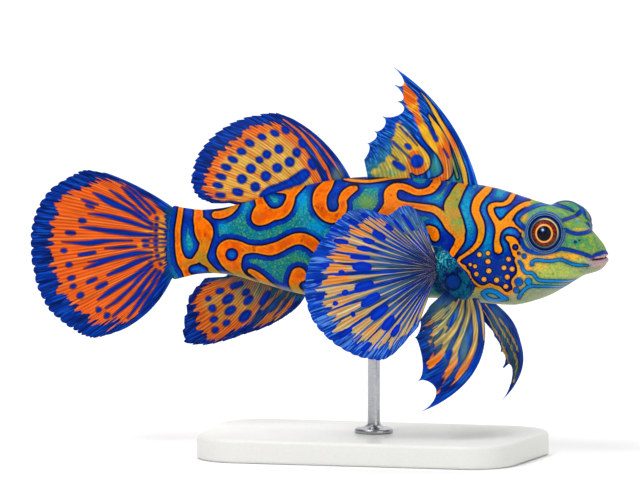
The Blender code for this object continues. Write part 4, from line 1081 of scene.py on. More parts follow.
def paint_tail(at):
    """Tail fin: fiery orange with blue streaks along the rays, amber at the root."""
    flat = at.flat
    warm = area_field(flat, TAIL_FIELD) + outer_rays(at.steps)
    amber = soft_mask(flat, ((163, 238, 5, 26, 1.0), (150, 243, 12, 20, 0.4)))
    leaf = soft_mask(flat, ((171, 212, 5, 12, 0.9), (171, 240, 4, 20, 0.3), (172, 268, 6, 14, 0.8)))
    return warm, stroke_field(flat, TAIL_STREAKS, join=0.5), 1.0 - amber, leaf


def paint_breast(at):
    """Pectoral fin: a blue margin, then tan with a ring of blue ovals, greener towards the root."""
    flat = at.flat
    warm = 17.0 - at.margin + 4.0 * bell(flat[:, 1] - 345.0, 14.0) * (flat[:, 0] > 380.0)
    warm += 11.0 * bell(np.hypot(flat[:, 0] - 410.0, flat[:, 1] - 230.0), 17.0)
    red = soft_mask(flat, ((340, 252, 22, 14, 0.9), (338, 275, 14, 18, 0.9), (340, 300, 14, 18, 0.5),
                           (362, 228, 16, 9, 0.8), (380, 222, 10, 6, 0.6), (364, 325, 12, 9, 0.6),
                           (377, 335, 8, 8, 0.5), (402, 232, 20, 12, 0.2)))
    leaf = soft_mask(flat, ((395, 288, 22, 22, 0.6), (385, 262, 16, 22, 0.5), (354, 212, 10, 5, 0.4),
                            (408, 226, 16, 14, 0.95)))
    return warm, stroke_field(flat, BREAST_SPOTS, join=0.5), red, leaf


def paint_belly(at):
    """Right pelvic fin: cream bands along the rays that warm to orange towards the tips."""
    flat = at.flat
    warm = stroke_field(flat, BELLY_BANDS, join=1.0) - 0.3
    red = smooth(flat[:, 1], 338.0, 368.0) + soft_mask(flat, ((430, 325, 7, 7, 0.7), (433, 338, 5, 6, 0.8),
                                                               (432, 354, 5, 7, 0.8)))
    leaf = soft_mask(flat, ((444, 314, 20, 14, 0.95), (442, 338, 12, 14, 0.7), (464, 345, 4, 22, 1.0),
                            (464, 316, 12, 14, 0.5), (452, 352, 8, 18, 0.5), (472, 322, 8, 20, 0.4)))
    return warm, stroke_field(flat, BELLY_SPOTS, join=0.5), red, leaf


def paint_far_belly(at):
    """Left pelvic fin: thin gold lines along the rays, greener beside them."""
    flat = at.flat
    warm = 4.0 * stroke_field(flat, FAR_BELLY_BANDS, join=0.5) - 0.4
    leaf = soft_mask(flat, ((496, 320, 6, 12, 0.8), (505, 336, 5, 12, 0.8), (512, 352, 4, 12, 0.8),
                            (515, 370, 4, 12, 0.7)))
    return warm, np.full(len(flat), FAR_REACH), np.full(len(flat), 0.1), leaf


def build_median_fins(sail, soft, vent, tail):
    root_x = (13.9, 12.0, 10.1, 7.8, 5.4, 3.0, -0.4)
    tips = ((2.6, 49.5), (3.0, 47.1), (3.4, 45.1), (1.5, 43.1), (0.5, 41.2), (-0.4, 39.7), (-0.8, 37.6))
    lean = (0.9, 0.8, 0.6, 0.4, 0.3, 0.2, 0.1)
    build_fin("sail_fin", "first_dorsal_fin", sail, "orange_fin",
              [(x, 0.0, top_at(x) + BASE_LIFT) for x in root_x], [(x, y, z) for (x, z), y in zip(tips, lean)],
              (1.8, 1.9, 1.9, 1.4, 1.0, 0.6, 0.0), (0.09, 0.06, 0.12, 0.09, 0.09, 0.12), paint_sail,
              columns=24, rows=150, fine=6, bones=0.10, ruffle=(0.10, 1.0))
    root_x = (-2.7, -4.4, -6.3, -8.4, -10.6, -12.8, -15.0, -16.8, -17.9)
    tips = ((-10.1, 42.5), (-12.4, 43.2), (-15.6, 42.7), (-18.4, 41.6), (-21.0, 39.5),
            (-22.6, 36.8), (-23.1, 34.0), (-22.2, 32.2), (-20.6, 31.5))
    build_fin("soft_dorsal_fin", "second_dorsal_fin", soft, "orange_fin",
              [(x, 0.0, top_at(x) + BASE_LIFT) for x in root_x],
              [(x, 0.5 * math.sin(RIPPLE_TURN * k), z) for k, (x, z) in enumerate(tips)],
              (0.8, 0.9, 0.9, 0.8, 0.6, 0.4, 0.1, 0.0, 0.0), 0.0, paint_soft,
              columns=24, rows=120, fine=7, bones=0.07, ruffle=(0.12, 1.0), teeth=(3, 0.42, "shingle"))
    root_x = (-8.4, -9.9, -11.4, -12.9, -14.3, -15.6, -16.8, -17.8, -18.6)
    tips = ((-10.5, 17.8), (-13.4, 16.0), (-16.5, 14.9), (-19.1, 14.0), (-21.7, 13.5),
            (-24.1, 14.0), (-24.0, 17.2), (-23.4, 19.8), (-21.4, 22.0))
    build_fin("vent_fin", "anal_fin", vent, "orange_fin",
              [(x, 0.0, bottom_at(x) - BASE_LIFT) for x in root_x],
              [(x, 0.4 * math.sin(RIPPLE_TURN * k + 1.0), z) for k, (x, z) in enumerate(tips)],
              (-0.2, -0.4, -0.6, -0.7, -0.8, -0.7, -0.4, -0.2, 0.0), 0.0, paint_vent,
              columns=24, rows=110, fine=5, bones=0.07, ruffle=(0.12, 1.0), teeth=(2, 0.45, "shingle"))
    reach = ((29.8, 17.2), (26.6, 19.9), (22.5, 21.3), (15.3, 23.4), (7.4, 24.5), (0.0, 24.8),
             (-8.0, 24.8), (-16.0, 24.7), (-23.0, 24.1), (-29.8, 22.7), (-34.0, 21.7),
             (-37.2, 20.3), (-41.0, 17.0))
    heights = np.linspace(STATIONS[0, 1] - 0.2, STATIONS[0, 2] + 0.2, len(reach))
    tips = [(CAUDAL_HUB[0] - length * math.cos(math.radians(turn)), -1.2 + 0.4 * math.sin(RIPPLE_TURN * k),
             CAUDAL_HUB[1] + length * math.sin(math.radians(turn))) for k, (turn, length) in enumerate(reach)]
    build_fin("tail_fin", "caudal_fin", tail, "orange_fin",
              [(STATIONS[0, 0] - BASE_LIFT, 0.0, z) for z in heights], tips,
              (0.35, 0.15, 0.05, 0.0, 0.0, 0.0, 0.0, 0.0, 0.0, -0.1, -0.2, -0.4, -0.8), 0.0, paint_tail,
              columns=21, rows=150, fine=6, bones=0.07, flesh=(0.45, 1.6), sink=0.9, ruffle=(0.14, 1.0),
              teeth=(3, 0.40, "scallop"))


def pectoral_rays(side, reach, flare):
    """Roots and tips of a fan of rays about the hub, each leading away from the flank by its flare."""
    roots, tips = [], []
    for (turn, length), slope in zip(reach, flare):
        turn = math.radians(turn)
        for radius, row in ((PECTORAL_ROOT, roots), (length, tips)):
            row.append((PECTORAL_HUB[0] - radius * math.cos(turn), side * (PECTORAL_HUB[1] + slope * radius),
                        PECTORAL_HUB[2] + radius * math.sin(turn)))
    return roots, tips


def build_paired_fins(breast, belly):
    right = ((75, 5.4), (69, 8.4), (60, 9.2), (48, 9.3), (41, 11.9), (33, 13.3), (20, 14.2), (5, 15.6),
             (-10, 16.5), (-25, 16.4), (-40, 15.3), (-53, 14.0), (-63, 12.3), (-73, 7.6))
    left = ((38, 11.0), (33, 12.8), (26, 13.9), (17, 14.8), (8, 15.4), (-1, 15.8), (-10, 15.8),
            (-18, 15.2), (-25, 13.8), (-31, 11.6))
    fans = (("right", -1.0, right, [0.22] * 3 + [0.27] + [0.33] * 10), ("left", 1.0, left, [0.30] * 10))
    for word, side, reach, flare in fans:
        roots, tips = pectoral_rays(side, reach, flare)
        build_fin("breast_fin_" + word, "pectoral_fin_" + word, breast, "blue_fin", roots, tips,
                  [0.0] * len(reach), 0.0, paint_breast, columns=21, rows=120, billow=side * 0.4, sink=1.1,
                  fine=7, bones=0.05, flesh=(0.22, 0.7), ruffle=(0.10, 1.0), teeth=(3, 0.22, "scallop"),
                  mirrored=True)
    sides = (
        ("right", -1.0, ((15.3, -3.4), (14.0, -3.8), (12.6, -4.1), (11.4, -4.3), (10.6, -4.4)),
         ((8.2, -8.0, 6.7), (8.0, -8.0, 10.7), (7.5, -7.5, 16.1), (7.9, -6.7, 18.2), (9.1, -5.8, 19.9)),
         (-3.9, -2.5, -1.0, -0.4, 0.1), (0.12, 0.06, 0.08, 0.05), paint_belly),
        ("left", 1.0, ((13.0, 3.4), (12.5, 3.8), (11.9, 4.1), (11.3, 4.3), (10.6, 4.4)),
         ((15.2, 6.1, 6.6), (14.8, 8.6, 10.6), (14.1, 10.6, 12.35), (13.3, 11.0, 14.2), (12.6, 9.2, 16.3)),
         (-3.8, -3.0, -1.4, -0.5, 0.1), (0.14, 0.05, 0.04, 0.04), paint_far_belly),
    )
    for word, side, root, tips, bows, notches, paint in sides:
        feet = [(x, y, underside_at(x, y) - PELVIC_LIFT) for x, y in root]
        build_fin("belly_fin_" + word, "pelvic_fin_" + word, belly, "blue_fin", feet, tips, bows, notches,
                  paint, columns=40, rows=150, billow=side * 0.6, slide=side * 0.1, sink=1.0, fine=6,
                  bones=0.09, flesh=(0.30, 0.8), ruffle=(0.10, 1.0))


# ---------------------------------------------------------------- stand

def build_base(material):
    """A slab: a rectangle with rounded corners, carried over a profile of insets and heights.

    Outline: a circle of the corner's radius, less the inset, about each corner's middle in turn. Profile: a
    quarter circle of the edge's radius at top and foot.
    """
    length, depth, height = BASE_SIZE
    turn = np.linspace(0.0, 2.0 * math.pi, SLAB_COLUMNS, endpoint=False) + math.pi / SLAB_COLUMNS
    middle_x = np.sign(np.cos(turn)) * (length / 2 - BASE_CORNER)
    middle_y = np.sign(np.sin(turn)) * (depth / 2 - BASE_CORNER)
    bend = np.linspace(0.0, 0.5 * math.pi, 8)
    inset = np.concatenate(((5.0, 2.5, 1.2), BASE_EDGE * (1.0 - np.sin(bend)),
                            BASE_EDGE * (1.0 - np.cos(bend)), (1.2, 2.5, 5.0)))
    up = np.concatenate((np.zeros(3), BASE_EDGE * (1.0 - np.cos(bend)),
                         height - BASE_EDGE * (1.0 - np.sin(bend)), np.full(3, height)))
    size = (BASE_CORNER - inset)[:, None]
    rings = np.stack((middle_x + size * np.cos(turn), middle_y + size * np.sin(turn),
                      np.broadcast_to(up[:, None], (len(up), len(turn)))), -1)
    mesh = ring_stack("stand_slab", rings, np.array((0.0, 0.0, 0.0)), np.array((0.0, 0.0, height)), {})
    add_piece("stand_slab", mesh, material, "stand_white", "stand_base")


def build_rod(material):
    """A turned rod: the profile of radii and heights, smoothed, is carried round the upright axis."""
    top = float(bottom_at(ROD_AT)) + ROD_SINK
    foot = BASE_SIZE[2] + ROD_CLEAR
    profile = [(radius, foot + up) for radius, up in ROD_FOOT]
    profile += [(radius, top - down) for radius, down in ROD_CUP]
    fine = through(profile, np.linspace(0.0, len(profile) - 1.0, len(profile) * STEM_ROWS))
    turn = np.linspace(0.0, 2.0 * math.pi, STEM_COLUMNS, endpoint=False)
    rings = np.stack((ROD_AT + fine[:, :1] * np.cos(turn), fine[:, :1] * np.sin(turn),
                      np.broadcast_to(fine[:, 1:], (len(fine), len(turn)))), -1)
    mesh = ring_stack("stand_stem", rings, np.array((ROD_AT, 0.0, foot)), np.array((ROD_AT, 0.0, top)), {})
    add_piece("stand_stem", mesh, material, "stand_steel", "stand_rod")


# ---------------------------------------------------------------- paints

GLOW_TINT = (1.0, 0.5, 0.3)   # how far red, green and blue travel under a surface, as shares of the reach
GLOW_REACH = 0.0003           # metres, as are the depths of fine relief
SKIN_RELIEF = 0.00003
FIN_RELIEF = 0.00004
STEEL_RELIEF = 0.00001


def colour(red, green, blue):
    """A colour given in 8-bit screen values, as Blender's linear values."""
    linear = [c / 255 / 12.92 if c <= 10 else ((c / 255 + 0.055) / 1.055) ** 2.4 for c in (red, green, blue)]
    return (*linear, 1.0)


class Wiring:
    """Shorthand for the nodes of one material or group."""

    def __init__(self, tree):
        self.tree = tree

    def node(self, kind, given=None, **settings):
        """A node with its settings; given maps its sockets, by name or number, to values or sockets."""
        made = self.tree.nodes.new("ShaderNode" + kind)
        for key, value in settings.items():
            setattr(made, key, value)
        for key, value in (given or {}).items():
            self.feed(made.inputs[key], value)
        return made

    def feed(self, socket, value):
        if isinstance(value, bpy.types.NodeSocket):
            self.tree.links.new(value, socket)
        else:
            socket.default_value = value

    def value(self, name):
        return self.node("Attribute", attribute_name=name).outputs["Fac"]

    def sum(self, operation, *terms):
        return self.node("Math", dict(enumerate(terms)), operation=operation).outputs[0]

    def times(self, first, second):
        return self.sum("MULTIPLY", first, second)

    def less(self, first, second):
        return self.sum("SUBTRACT", first, second)

    def blend(self, value, factor, term):
        """Value times factor, plus term."""
        return self.sum("MULTIPLY_ADD", value, factor, term)

    def away(self, value, level):
        """How far a value is from a level, either way."""
        return self.sum("ABSOLUTE", self.less(value, level))

    def ramp(self, value, start, end, low=0.0, high=1.0):
        """A smooth step from low at start to high at end."""
        names = ("Value", "From Min", "From Max", "To Min", "To Max")
        given = dict(zip(names, (value, start, end, low, high)))
        return self.node("MapRange", given, interpolation_type="SMOOTHSTEP").outputs["Result"]

    def fade(self, value, start, end, strength=1.0):
        """A smooth step from full strength at start to nothing at end."""
        return self.ramp(value, start, end, strength, 0.0)

    def over(self, under, *coats):
        """Coats, each a paint and its share, laid in turn over what is under them."""
        for paint, share in coats:
            under = self.node("Mix", {0: share, 6: under, 7: paint}, data_type="RGBA").outputs[2]
        return under

    def noise(self, vector, scale, detail=2.0, roughness=0.5):
        given = {"Vector": vector, "Scale": scale, "Detail": detail, "Roughness": roughness}
        return self.node("TexNoise", given).outputs["Fac"]

    def shaded(self, paint, value):
        """A paint with its brightness multiplied by a value."""
        return self.node("HueSaturation", {"Value": value, "Color": paint}).outputs["Color"]

    def local(self):
        return self.node("TexCoord").outputs["Object"]


def new_material(name, roughness, coat=0.0, coat_roughness=0.1, subsurface=0.0, metallic=0.0, specular=0.06):
    material = bpy.data.materials.new(name)
    material.use_nodes = True
    shader = material.node_tree.nodes["Principled BSDF"]
    for key, value in (("Roughness", roughness), ("Specular IOR Level", specular), ("Metallic", metallic),
                       ("Coat Weight", coat), ("Coat Roughness", coat_roughness),
                       ("Subsurface Weight", subsurface), ("Subsurface Radius", GLOW_TINT),
                       ("Subsurface Scale", GLOW_REACH)):
        shader.inputs[key].default_value = value
    return material, Wiring(material.node_tree), shader


def add_bump(w, shader, height, distance, strength):
    bump = w.node("Bump", {"Distance": distance, "Strength": strength, "Height": height})
    w.feed(shader.inputs["Normal"], bump.outputs["Normal"])


def new_group(name, inputs, outputs):
    """A node group with sockets listed by kind; gives it, its wiring, what it is given and its results."""
    group = bpy.data.node_groups.new(name, "ShaderNodeTree")
    for way, kinds in (("INPUT", inputs), ("OUTPUT", outputs)):
        for kind, names in kinds.items():
            for socket in names:
                group.interface.new_socket(socket, in_out=way, socket_type="NodeSocket" + kind)
    nodes = group.nodes
    return group, Wiring(group), nodes.new("NodeGroupInput").outputs, nodes.new("NodeGroupOutput").inputs


def speckle_group():
    """Skin grain: large soft mottling, fine speckle, few round freckles and a height, from object places."""
    group, w, given, result = new_group("skin grain", {"Float": ("Mottle Scale",)},
                                        {"Float": ("Mottle", "Speckle", "Freckle", "Height")})
    local = w.local()
    mottle = w.noise(local, given["Mottle Scale"], 3.0)
    fine = w.noise(local, 3900.0, 3.0, 0.6)
    grain = w.node("TexVoronoi", {"Vector": local, "Scale": 4200.0}, feature="SMOOTH_F1")
    dots = w.node("TexVoronoi", {"Vector": local, "Scale": 1300.0})
    few = w.ramp(w.noise(local, 700.0, 1.0), 0.45, 0.6)
    w.feed(result["Mottle"], w.ramp(mottle, 0.35, 0.65))
    w.feed(result["Speckle"], fine)
    w.feed(result["Freckle"], w.times(w.fade(dots.outputs["Distance"], 0.12, 0.42), few))
    w.feed(result["Height"], w.blend(grain.outputs["Distance"], -0.5, fine))
    return group


def use_group(w, group, given):
    return w.node("Group", given, node_tree=group)


ROYAL = colour(0, 52, 168)
BRIGHT_BLUE = colour(0, 86, 222)
DEEP_BLUE = colour(0, 26, 138)
NAVY = colour(2, 6, 44)
TEAL = colour(0, 116, 134)
SEA_GREEN = colour(48, 134, 84)
SKY = colour(0, 132, 205)
ORANGE = colour(246, 112, 0)
RED_ORANGE = colour(208, 74, 2)
NAPE_ORANGE = colour(248, 130, 0)
GOLD = colour(236, 150, 20)
OLIVE_PAINT = colour(150, 132, 34)
LEAF_PAINT = colour(104, 150, 66)
HEAD_GREEN = colour(88, 150, 68)
HEAD_AMBER = colour(250, 168, 16)
HEAD_LIME = colour(172, 188, 88)
HEAD_GREY = colour(132, 142, 116)
LIP_ROSE = colour(186, 150, 146)
# Rings of skin round the eye: distance from its axis, paint, strength and half width
ORBIT_PAINTS = (
    (2.68, colour(20, 84, 196), 0.8, 0.08), (2.54, colour(130, 160, 116), 0.7, 0.07),
    (2.42, colour(6, 66, 176), 0.9, 0.10), (2.30, colour(124, 158, 166), 0.7, 0.06),
    (2.06, colour(4, 14, 60), 0.9, 0.12),
)


def skin_material(grain):
    material, w, shader = new_material("painted skin", 0.45, coat=0.02, coat_roughness=0.2, subsurface=0.02,
                                       specular=0.03)
    noise = use_group(w, grain, {"Mottle Scale": 900.0})
    mottle, speckle, freckle = (noise.outputs[name] for name in ("Mottle", "Speckle", "Freckle"))
    warm, mark, dot, head, ring, slit = map(w.value, ("warm", "mark", "dot", "head", "ring", "slit"))
    bright, leaf = w.value("bright"), w.value("leaf")
    off_head = w.fade(head, 0.0, 1.0)

    def flecks(low, high=1.0, start=0.3, end=0.6):
        """A share that goes from low to high as the fine speckle rises."""
        return w.ramp(speckle, start, end, low, high)

    # Blue ground: navy next to the orange, then royal blue, then teal and green where it is wide
    sky = w.over(SKY, (colour(8, 152, 158), w.times(mottle, flecks(0.4, start=0.35))))
    sea = w.over(
        TEAL,
        (SEA_GREEN, w.times(mottle, flecks(0.1, start=0.38, end=0.56))),
        (colour(128, 150, 60), flecks(0.0, 0.45, 0.54, 0.70)),
        (sky, w.times(bright, flecks(0.55))))
    ground = w.over(
        ROYAL,
        (colour(0, 32, 124), w.times(mottle, flecks(0.2, start=0.35))),
        (BRIGHT_BLUE, w.times(flecks(0.3, start=0.4, end=0.62), w.ramp(warm, 3.4, 5.4, 0.0, 0.35))),
        (sea, w.ramp(w.blend(speckle, 2.4, warm), 6.4, 7.6)),
        (LEAF_PAINT, w.times(leaf, w.ramp(warm, 4.4, 6.4, 0.0, 0.85))),
        (colour(0, 26, 110), w.fade(w.away(w.blend(speckle, 1.2, warm), 6.1), 0.2, 1.1, 0.55)),
        (sky, w.times(w.times(bright, flecks(0.55, 0.95)), w.ramp(warm, 1.6, 3.3))),
        (DEEP_BLUE, w.times(w.value("deep"), 0.92)),
        (NAVY, w.fade(warm, 1.1, 2.5)))

    # Warm bands, a little golden at their edges, freckled with red
    leafy = w.times(flecks(0.6, end=0.55), w.ramp(mottle, 0.0, 1.0, 1.0, 0.6))
    band = w.over(
        ORANGE,
        (RED_ORANGE, w.times(mottle, flecks(0.35))),
        (w.over(NAPE_ORANGE, (GOLD, w.times(mottle, 0.6))), w.value("nape")),
        (GOLD, w.ramp(warm, -2.4, -0.6, 0.0, 0.6)),
        (OLIVE_PAINT, w.times(w.value("olive"), flecks(0.6))),
        (LEAF_PAINT, w.times(leaf, leafy)),
        (colour(132, 40, 4), w.times(freckle, 0.6)),
        (colour(96, 40, 14), w.ramp(warm, -0.7, -0.1, 0.0, 0.35)))

    # The head's own ground, with its lips and painted shade in the slit between them
    face = w.over(
        HEAD_GREEN,
        (colour(146, 160, 52), w.times(mottle, flecks(0.3, start=0.35))),
        (colour(26, 128, 122), w.times(w.ramp(mottle, 0.5, 0.1), flecks(0.5, 0.0, 0.4))),
        (colour(34, 142, 132), w.times(bright, 0.8)),
        (HEAD_LIME, w.times(w.value("lime"), flecks(0.75))),
        (HEAD_AMBER, w.value("amber")),
        (HEAD_GREY, w.value("grey")),
        (colour(28, 112, 124), w.fade(w.blend(speckle, 2.0, mark), 1.6, 4.4, 0.55)),
        (LIP_ROSE, w.value("rosy")),
        (colour(44, 92, 44), w.times(freckle, 0.4)),
        (colour(166, 150, 168), w.fade(slit, 2.6, 6.4, 0.8)),
        (colour(204, 148, 140), w.fade(slit, 1.2, 2.8, 0.7)),
        # painted shade: near-black in the groove between the lips
        (colour(58, 34, 52), w.fade(slit, 0.5, 1.3, 0.95)))

    # Blue lines and spots, and amber dots
    line = w.over(
        ROYAL,
        (SKY, w.value("cyan")),
        (TEAL, w.times(w.fade(mark, -4.2, -2.6, 0.75), off_head)),
        (BRIGHT_BLUE, w.fade(mark, -3.4, -1.6, 0.4)))
    yolk = w.over(colour(226, 146, 30), (colour(246, 194, 104), w.fade(dot, -2.4, -1.0)))

    # Fleshy base of the pectoral fin: dark teal with a darker eye
    patch = w.blend(w.less(speckle, 0.5), 2.4, mottle)
    dapple = w.times(bright, flecks(0.1, 1.0, 0.42, 0.60))
    spread = w.blend(speckle, 3.0, w.value("lobe_ring"))
    flesh = w.over(
        colour(0, 20, 78),
        (colour(0, 80, 108), w.ramp(patch, 0.0, 1.1)),
        (colour(24, 158, 180), dapple),
        (colour(120, 150, 60), w.times(dapple, flecks(0.0, 0.8, 0.56, 0.66))),
        (colour(0, 12, 62), w.fade(spread, 9.2, 12.0, 0.9)),
        (colour(0, 46, 122), w.fade(spread, 6.6, 9.2, 0.9)))

    # All of it together, with the pale belly and the skin round the eye
    paint = w.over(
        ground,
        (w.over(band, (face, head)), w.fade(warm, -0.3, 0.3)),
        (NAVY, w.fade(mark, 0.45, 1.05, 0.85)),
        (line, w.fade(mark, -0.5, 0.0)),
        (NAVY, w.times(w.fade(w.away(mark, -0.2), 0.7, 1.5, 0.9), off_head)),
        (NAVY, w.fade(dot, 0.5, 1.6, 0.9)),
        (yolk, w.fade(dot, -0.4, 0.3)),
        (flesh, w.value("lobe")),
        (colour(178, 176, 132), w.times(w.value("belly"), 0.6)),
        (w.over(colour(4, 44, 112), (colour(2, 20, 74), mottle)), w.fade(ring, 2.62, 2.76)),
        *((tint, w.fade(w.away(ring, radius), 0.02, thin, strength))
          for radius, tint, strength, thin in ORBIT_PAINTS))
    w.feed(shader.inputs["Base Color"], w.shaded(paint, w.blend(speckle, 1.3, 0.34)))
    w.feed(shader.inputs["Roughness"], w.ramp(speckle, 0.3, 0.7, 0.34, 0.5))
    add_bump(w, shader, noise.outputs["Height"], SKIN_RELIEF, 0.6)
    return material


FIN_VALUES = ("Warm", "Mark", "Red", "Leaf", "Ray", "Along", "Loose")
FIN_SETTINGS = ("Gap", "Fray", "Tongue", "Wander", "Mark Fray", "Mark Edge", "Stripe", "Spine", "Shade",
                "Pale", "Dark", "Edge")
FIN_PAINTS = ("Gold Paint", "Red Paint", "Leaf Paint", "Blue Paint", "Light Paint", "Mark Paint", "Ray Paint")
# For each fin its paints, in screen values, and its settings, in the order of the names above
FINS = {
    "soft fin membrane": (
        ((226, 168, 62), (228, 94, 10), (110, 138, 84), (0, 42, 146), (8, 82, 204), (0, 42, 156),
         (248, 212, 136)),
        (7.0, 5.0, 1.6, 3.0, 0.7, 0.6, 0.0, 0.25, 0.6, 0.45, 0.24, 0.45)),
    "vent fin membrane": (
        ((166, 118, 48), (198, 86, 20), (36, 80, 84), (0, 34, 126), (8, 70, 180), (0, 36, 142),
         (206, 158, 86)),
        (5.0, 6.0, 1.6, 3.0, 0.7, 0.7, 0.0, 0.25, 0.7, 0.4, 0.55, 0.45)),
    "tail fin membrane": (
        ((236, 150, 34), (226, 88, 20), (0, 74, 104), (0, 44, 142), (8, 84, 200), (0, 42, 146),
         (246, 168, 88)),
        (6.0, 9.0, 1.6, 8.0, 0.7, 0.75, 0.0, 0.25, 0.7, 0.45, 0.42, 0.45)),
    "sail fin membrane": (
        ((238, 178, 30), (230, 92, 10), (58, 148, 104), (0, 60, 186), (52, 150, 236), (0, 50, 180),
         (250, 222, 110)),
        (6.0, 1.8, 0.5, 1.2, 0.4, 0.75, 0.0, 0.3, 0.6, 0.25, 0.32, (1.0, 0.1))),
    "belly fin membrane": (
        ((210, 172, 84), (232, 116, 8), (84, 124, 100), (0, 52, 164), (10, 96, 208), (0, 54, 172),
         (240, 216, 150)),
        (6.0, 4.0, 0.8, 1.0, 0.7, 0.6, 0.0, 0.2, 0.6, 0.45, 0.35, 0.45)),
    "breast fin membrane": (
        ((190, 156, 96), (224, 134, 48), (74, 112, 116), (0, 62, 184), (96, 154, 228), (0, 40, 178),
         (232, 214, 176)),
        (7.0, 12.0, 1.6, 7.0, 1.0, 0.0, (0.98, 0.22), 0.45, 0.4, 0.4, 0.35, 0.45)),
}


def membrane_group():
    """Colour and height of a rayed fin.

    Warm and Mark are distances from the edges of the warm field and of the blue marks. Both are frayed by
    streaks along the rays, and the field's edge also by tongues two fine rays wide and by a slow wander,
    all of it as far as Loose says, which is most near the margin. Red moves the field from gold to red,
    Leaf turns it green, Edge and Mark Edge are how dark the lines round the field and the marks are, and
    Stripe is the share of every third fine gap that stays blue. Fine rays show as pale lines, as strong as
    Pale, with dark lines between them, as strong as Dark. Every Gap fine rays comes a main ray, shown by
    Spine. Shade darkens the blue in streaks, which grow finer from foot to margin, where real rays branch.
    """
    group, w, given, result = new_group(
        "rayed membrane", {"Float": FIN_VALUES + FIN_SETTINGS, "Color": FIN_PAINTS},
        {"Color": ("Color",), "Float": ("Height",)})
    gold_paint, red_paint, leaf_paint, blue_paint, light_paint, mark_paint, ray_paint = (
        given[name] for name in FIN_PAINTS)

    def streaks(fine, long, seed, sharp):
        joined = w.node("CombineXYZ", {0: w.times(given["Ray"], fine), 1: w.times(given["Along"], long),
                                       2: seed})
        return w.ramp(w.noise(joined.outputs[0], 1.0, 2.0), 0.5 - sharp, 0.5 + sharp)

    def mixed(first, second, share):
        return w.node("Mix", {0: share, 2: first, 3: second}, data_type="FLOAT").outputs[0]

    def from_line(every):
        """How far a point is from the nearest of the lines that every so many fine rays give, as a share."""
        return w.away(w.sum("FRACT", w.sum("ADD", w.sum("DIVIDE", given["Ray"], every), 0.5)), 0.5)

    def swing(value, reach, term):
        """Term moved up and down by a value between 0 and 1, over the given reach."""
        return w.blend(w.less(value, 0.5), reach, term)

    outer = w.ramp(given["Along"], 0.30, 0.60)
    thin = mixed(streaks(0.45, 2.5, 0.0, 0.16), streaks(0.9, 3.0, 3.0, 0.16), outer)
    hair = mixed(streaks(0.9, 4.0, 9.0, 0.2), streaks(2.1, 5.0, 12.0, 0.2), outer)
    broad = streaks(0.35, 2.2, 5.0, 0.2)
    slow = streaks(0.17, 0.8, 21.0, 0.25)
    bone, pair, third = from_line(1.0), from_line(2.0), from_line(3.0)
    spine = w.times(w.fade(w.times(from_line(given["Gap"]), given["Gap"]), 0.10, 0.42), given["Spine"])

    uneven = w.times(given["Tongue"], w.ramp(broad, 0.0, 1.0, 1.2, 5.2))
    tongue = w.times(w.less(pair, 0.25), uneven)
    wander = w.times(w.less(slow, 0.5), given["Wander"])
    warm = w.blend(swing(thin, given["Fray"], w.sum("ADD", tongue, wander)), given["Loose"], given["Warm"])
    mark = swing(thin, given["Mark Fray"], given["Mark"])
    inside = w.fade(warm, -0.8, 0.8)
    seam = w.times(w.ramp(bone, 0.28, 0.46), w.ramp(broad, 0.0, 1.0, 0.25, 1.0))

    red = w.ramp(swing(broad, 0.5, given["Red"]), 0.15, 0.85)
    pale = w.times(given["Pale"], w.blend(red, -0.55, 1.0))
    gold = w.over(
        gold_paint,
        (red_paint, red),
        (leaf_paint, w.times(given["Leaf"], w.ramp(thin, 0.0, 1.0, 0.5, 1.0))),
        (ray_paint, w.times(w.fade(bone, 0.02, 0.22), pale)),
        (ray_paint, spine),
        (colour(52, 24, 10), w.times(seam, given["Dark"])))
    blue = w.over(
        blue_paint,
        (NAVY, w.times(w.ramp(thin, 0.2, 0.9), given["Shade"])),
        (leaf_paint, w.times(given["Leaf"], 0.75)),
        (light_paint, w.ramp(hair, 0.55, 1.0, 0.0, 0.6)),
        (light_paint, spine))

    edge = w.less(0.5, w.times(given["Stripe"], 0.5))
    stripe = w.times(w.ramp(w.less(swing(hair, 0.12, third), edge), 0.0, 0.05), inside)
    between = w.over(
        blue_paint,
        (leaf_paint, w.ramp(broad, 0.2, 0.9, 0.0, 0.8)),
        (NAVY, w.sum("MAXIMUM", w.ramp(thin, 0.3, 0.9, 0.0, 0.7), w.fade(given["Along"], 0.05, 0.45, 0.75))))
    spot = w.over(
        mark_paint,
        (BRIGHT_BLUE, w.fade(mark, -4.5, -1.5, 0.3)),
        (NAVY, w.fade(hair, 0.0, 0.5, 0.3)))
    paint = w.over(
        blue,
        (gold, inside),
        (NAVY, w.times(w.fade(w.away(warm, 0.6), 0.0, 1.5), given["Edge"])),
        (between, w.times(stripe, w.ramp(given["Stripe"], 0.02, 0.12))),
        (NAVY, w.times(w.fade(mark, 0.1, 1.3), w.times(inside, given["Mark Edge"]))),
        (spot, w.fade(mark, -0.7, 0.2)))
    w.feed(result["Color"], w.shaded(paint, w.blend(hair, 0.36, 0.80)))
    w.feed(result["Height"], w.less(w.times(hair, 0.5), seam))
    return group


def fin_material(name, membrane, paints, settings):
    """A fin's paint. Stripe and Edge may be pairs: the value at the foot and the one at the margin."""
    material, w, shader = new_material(name, 0.55, coat=0.02, coat_roughness=0.3, subsurface=0.02,
                                       specular=0.04)
    given = dict(zip(FIN_SETTINGS + FIN_PAINTS, settings + tuple(colour(*paint) for paint in paints)))
    for key, measure, start, end in (("Stripe", "along", 0.18, 0.90), ("Edge", "loose", 0.35, 0.95)):
        if isinstance(given[key], tuple):
            given[key] = w.ramp(w.value(measure), start, end, *given[key])
    given.update((key, w.value(key.lower())) for key in FIN_VALUES)
    made = use_group(w, membrane, given)
    w.feed(shader.inputs["Base Color"], made.outputs["Color"])
    add_bump(w, shader, made.outputs["Height"], FIN_RELIEF, 0.5)
    return material


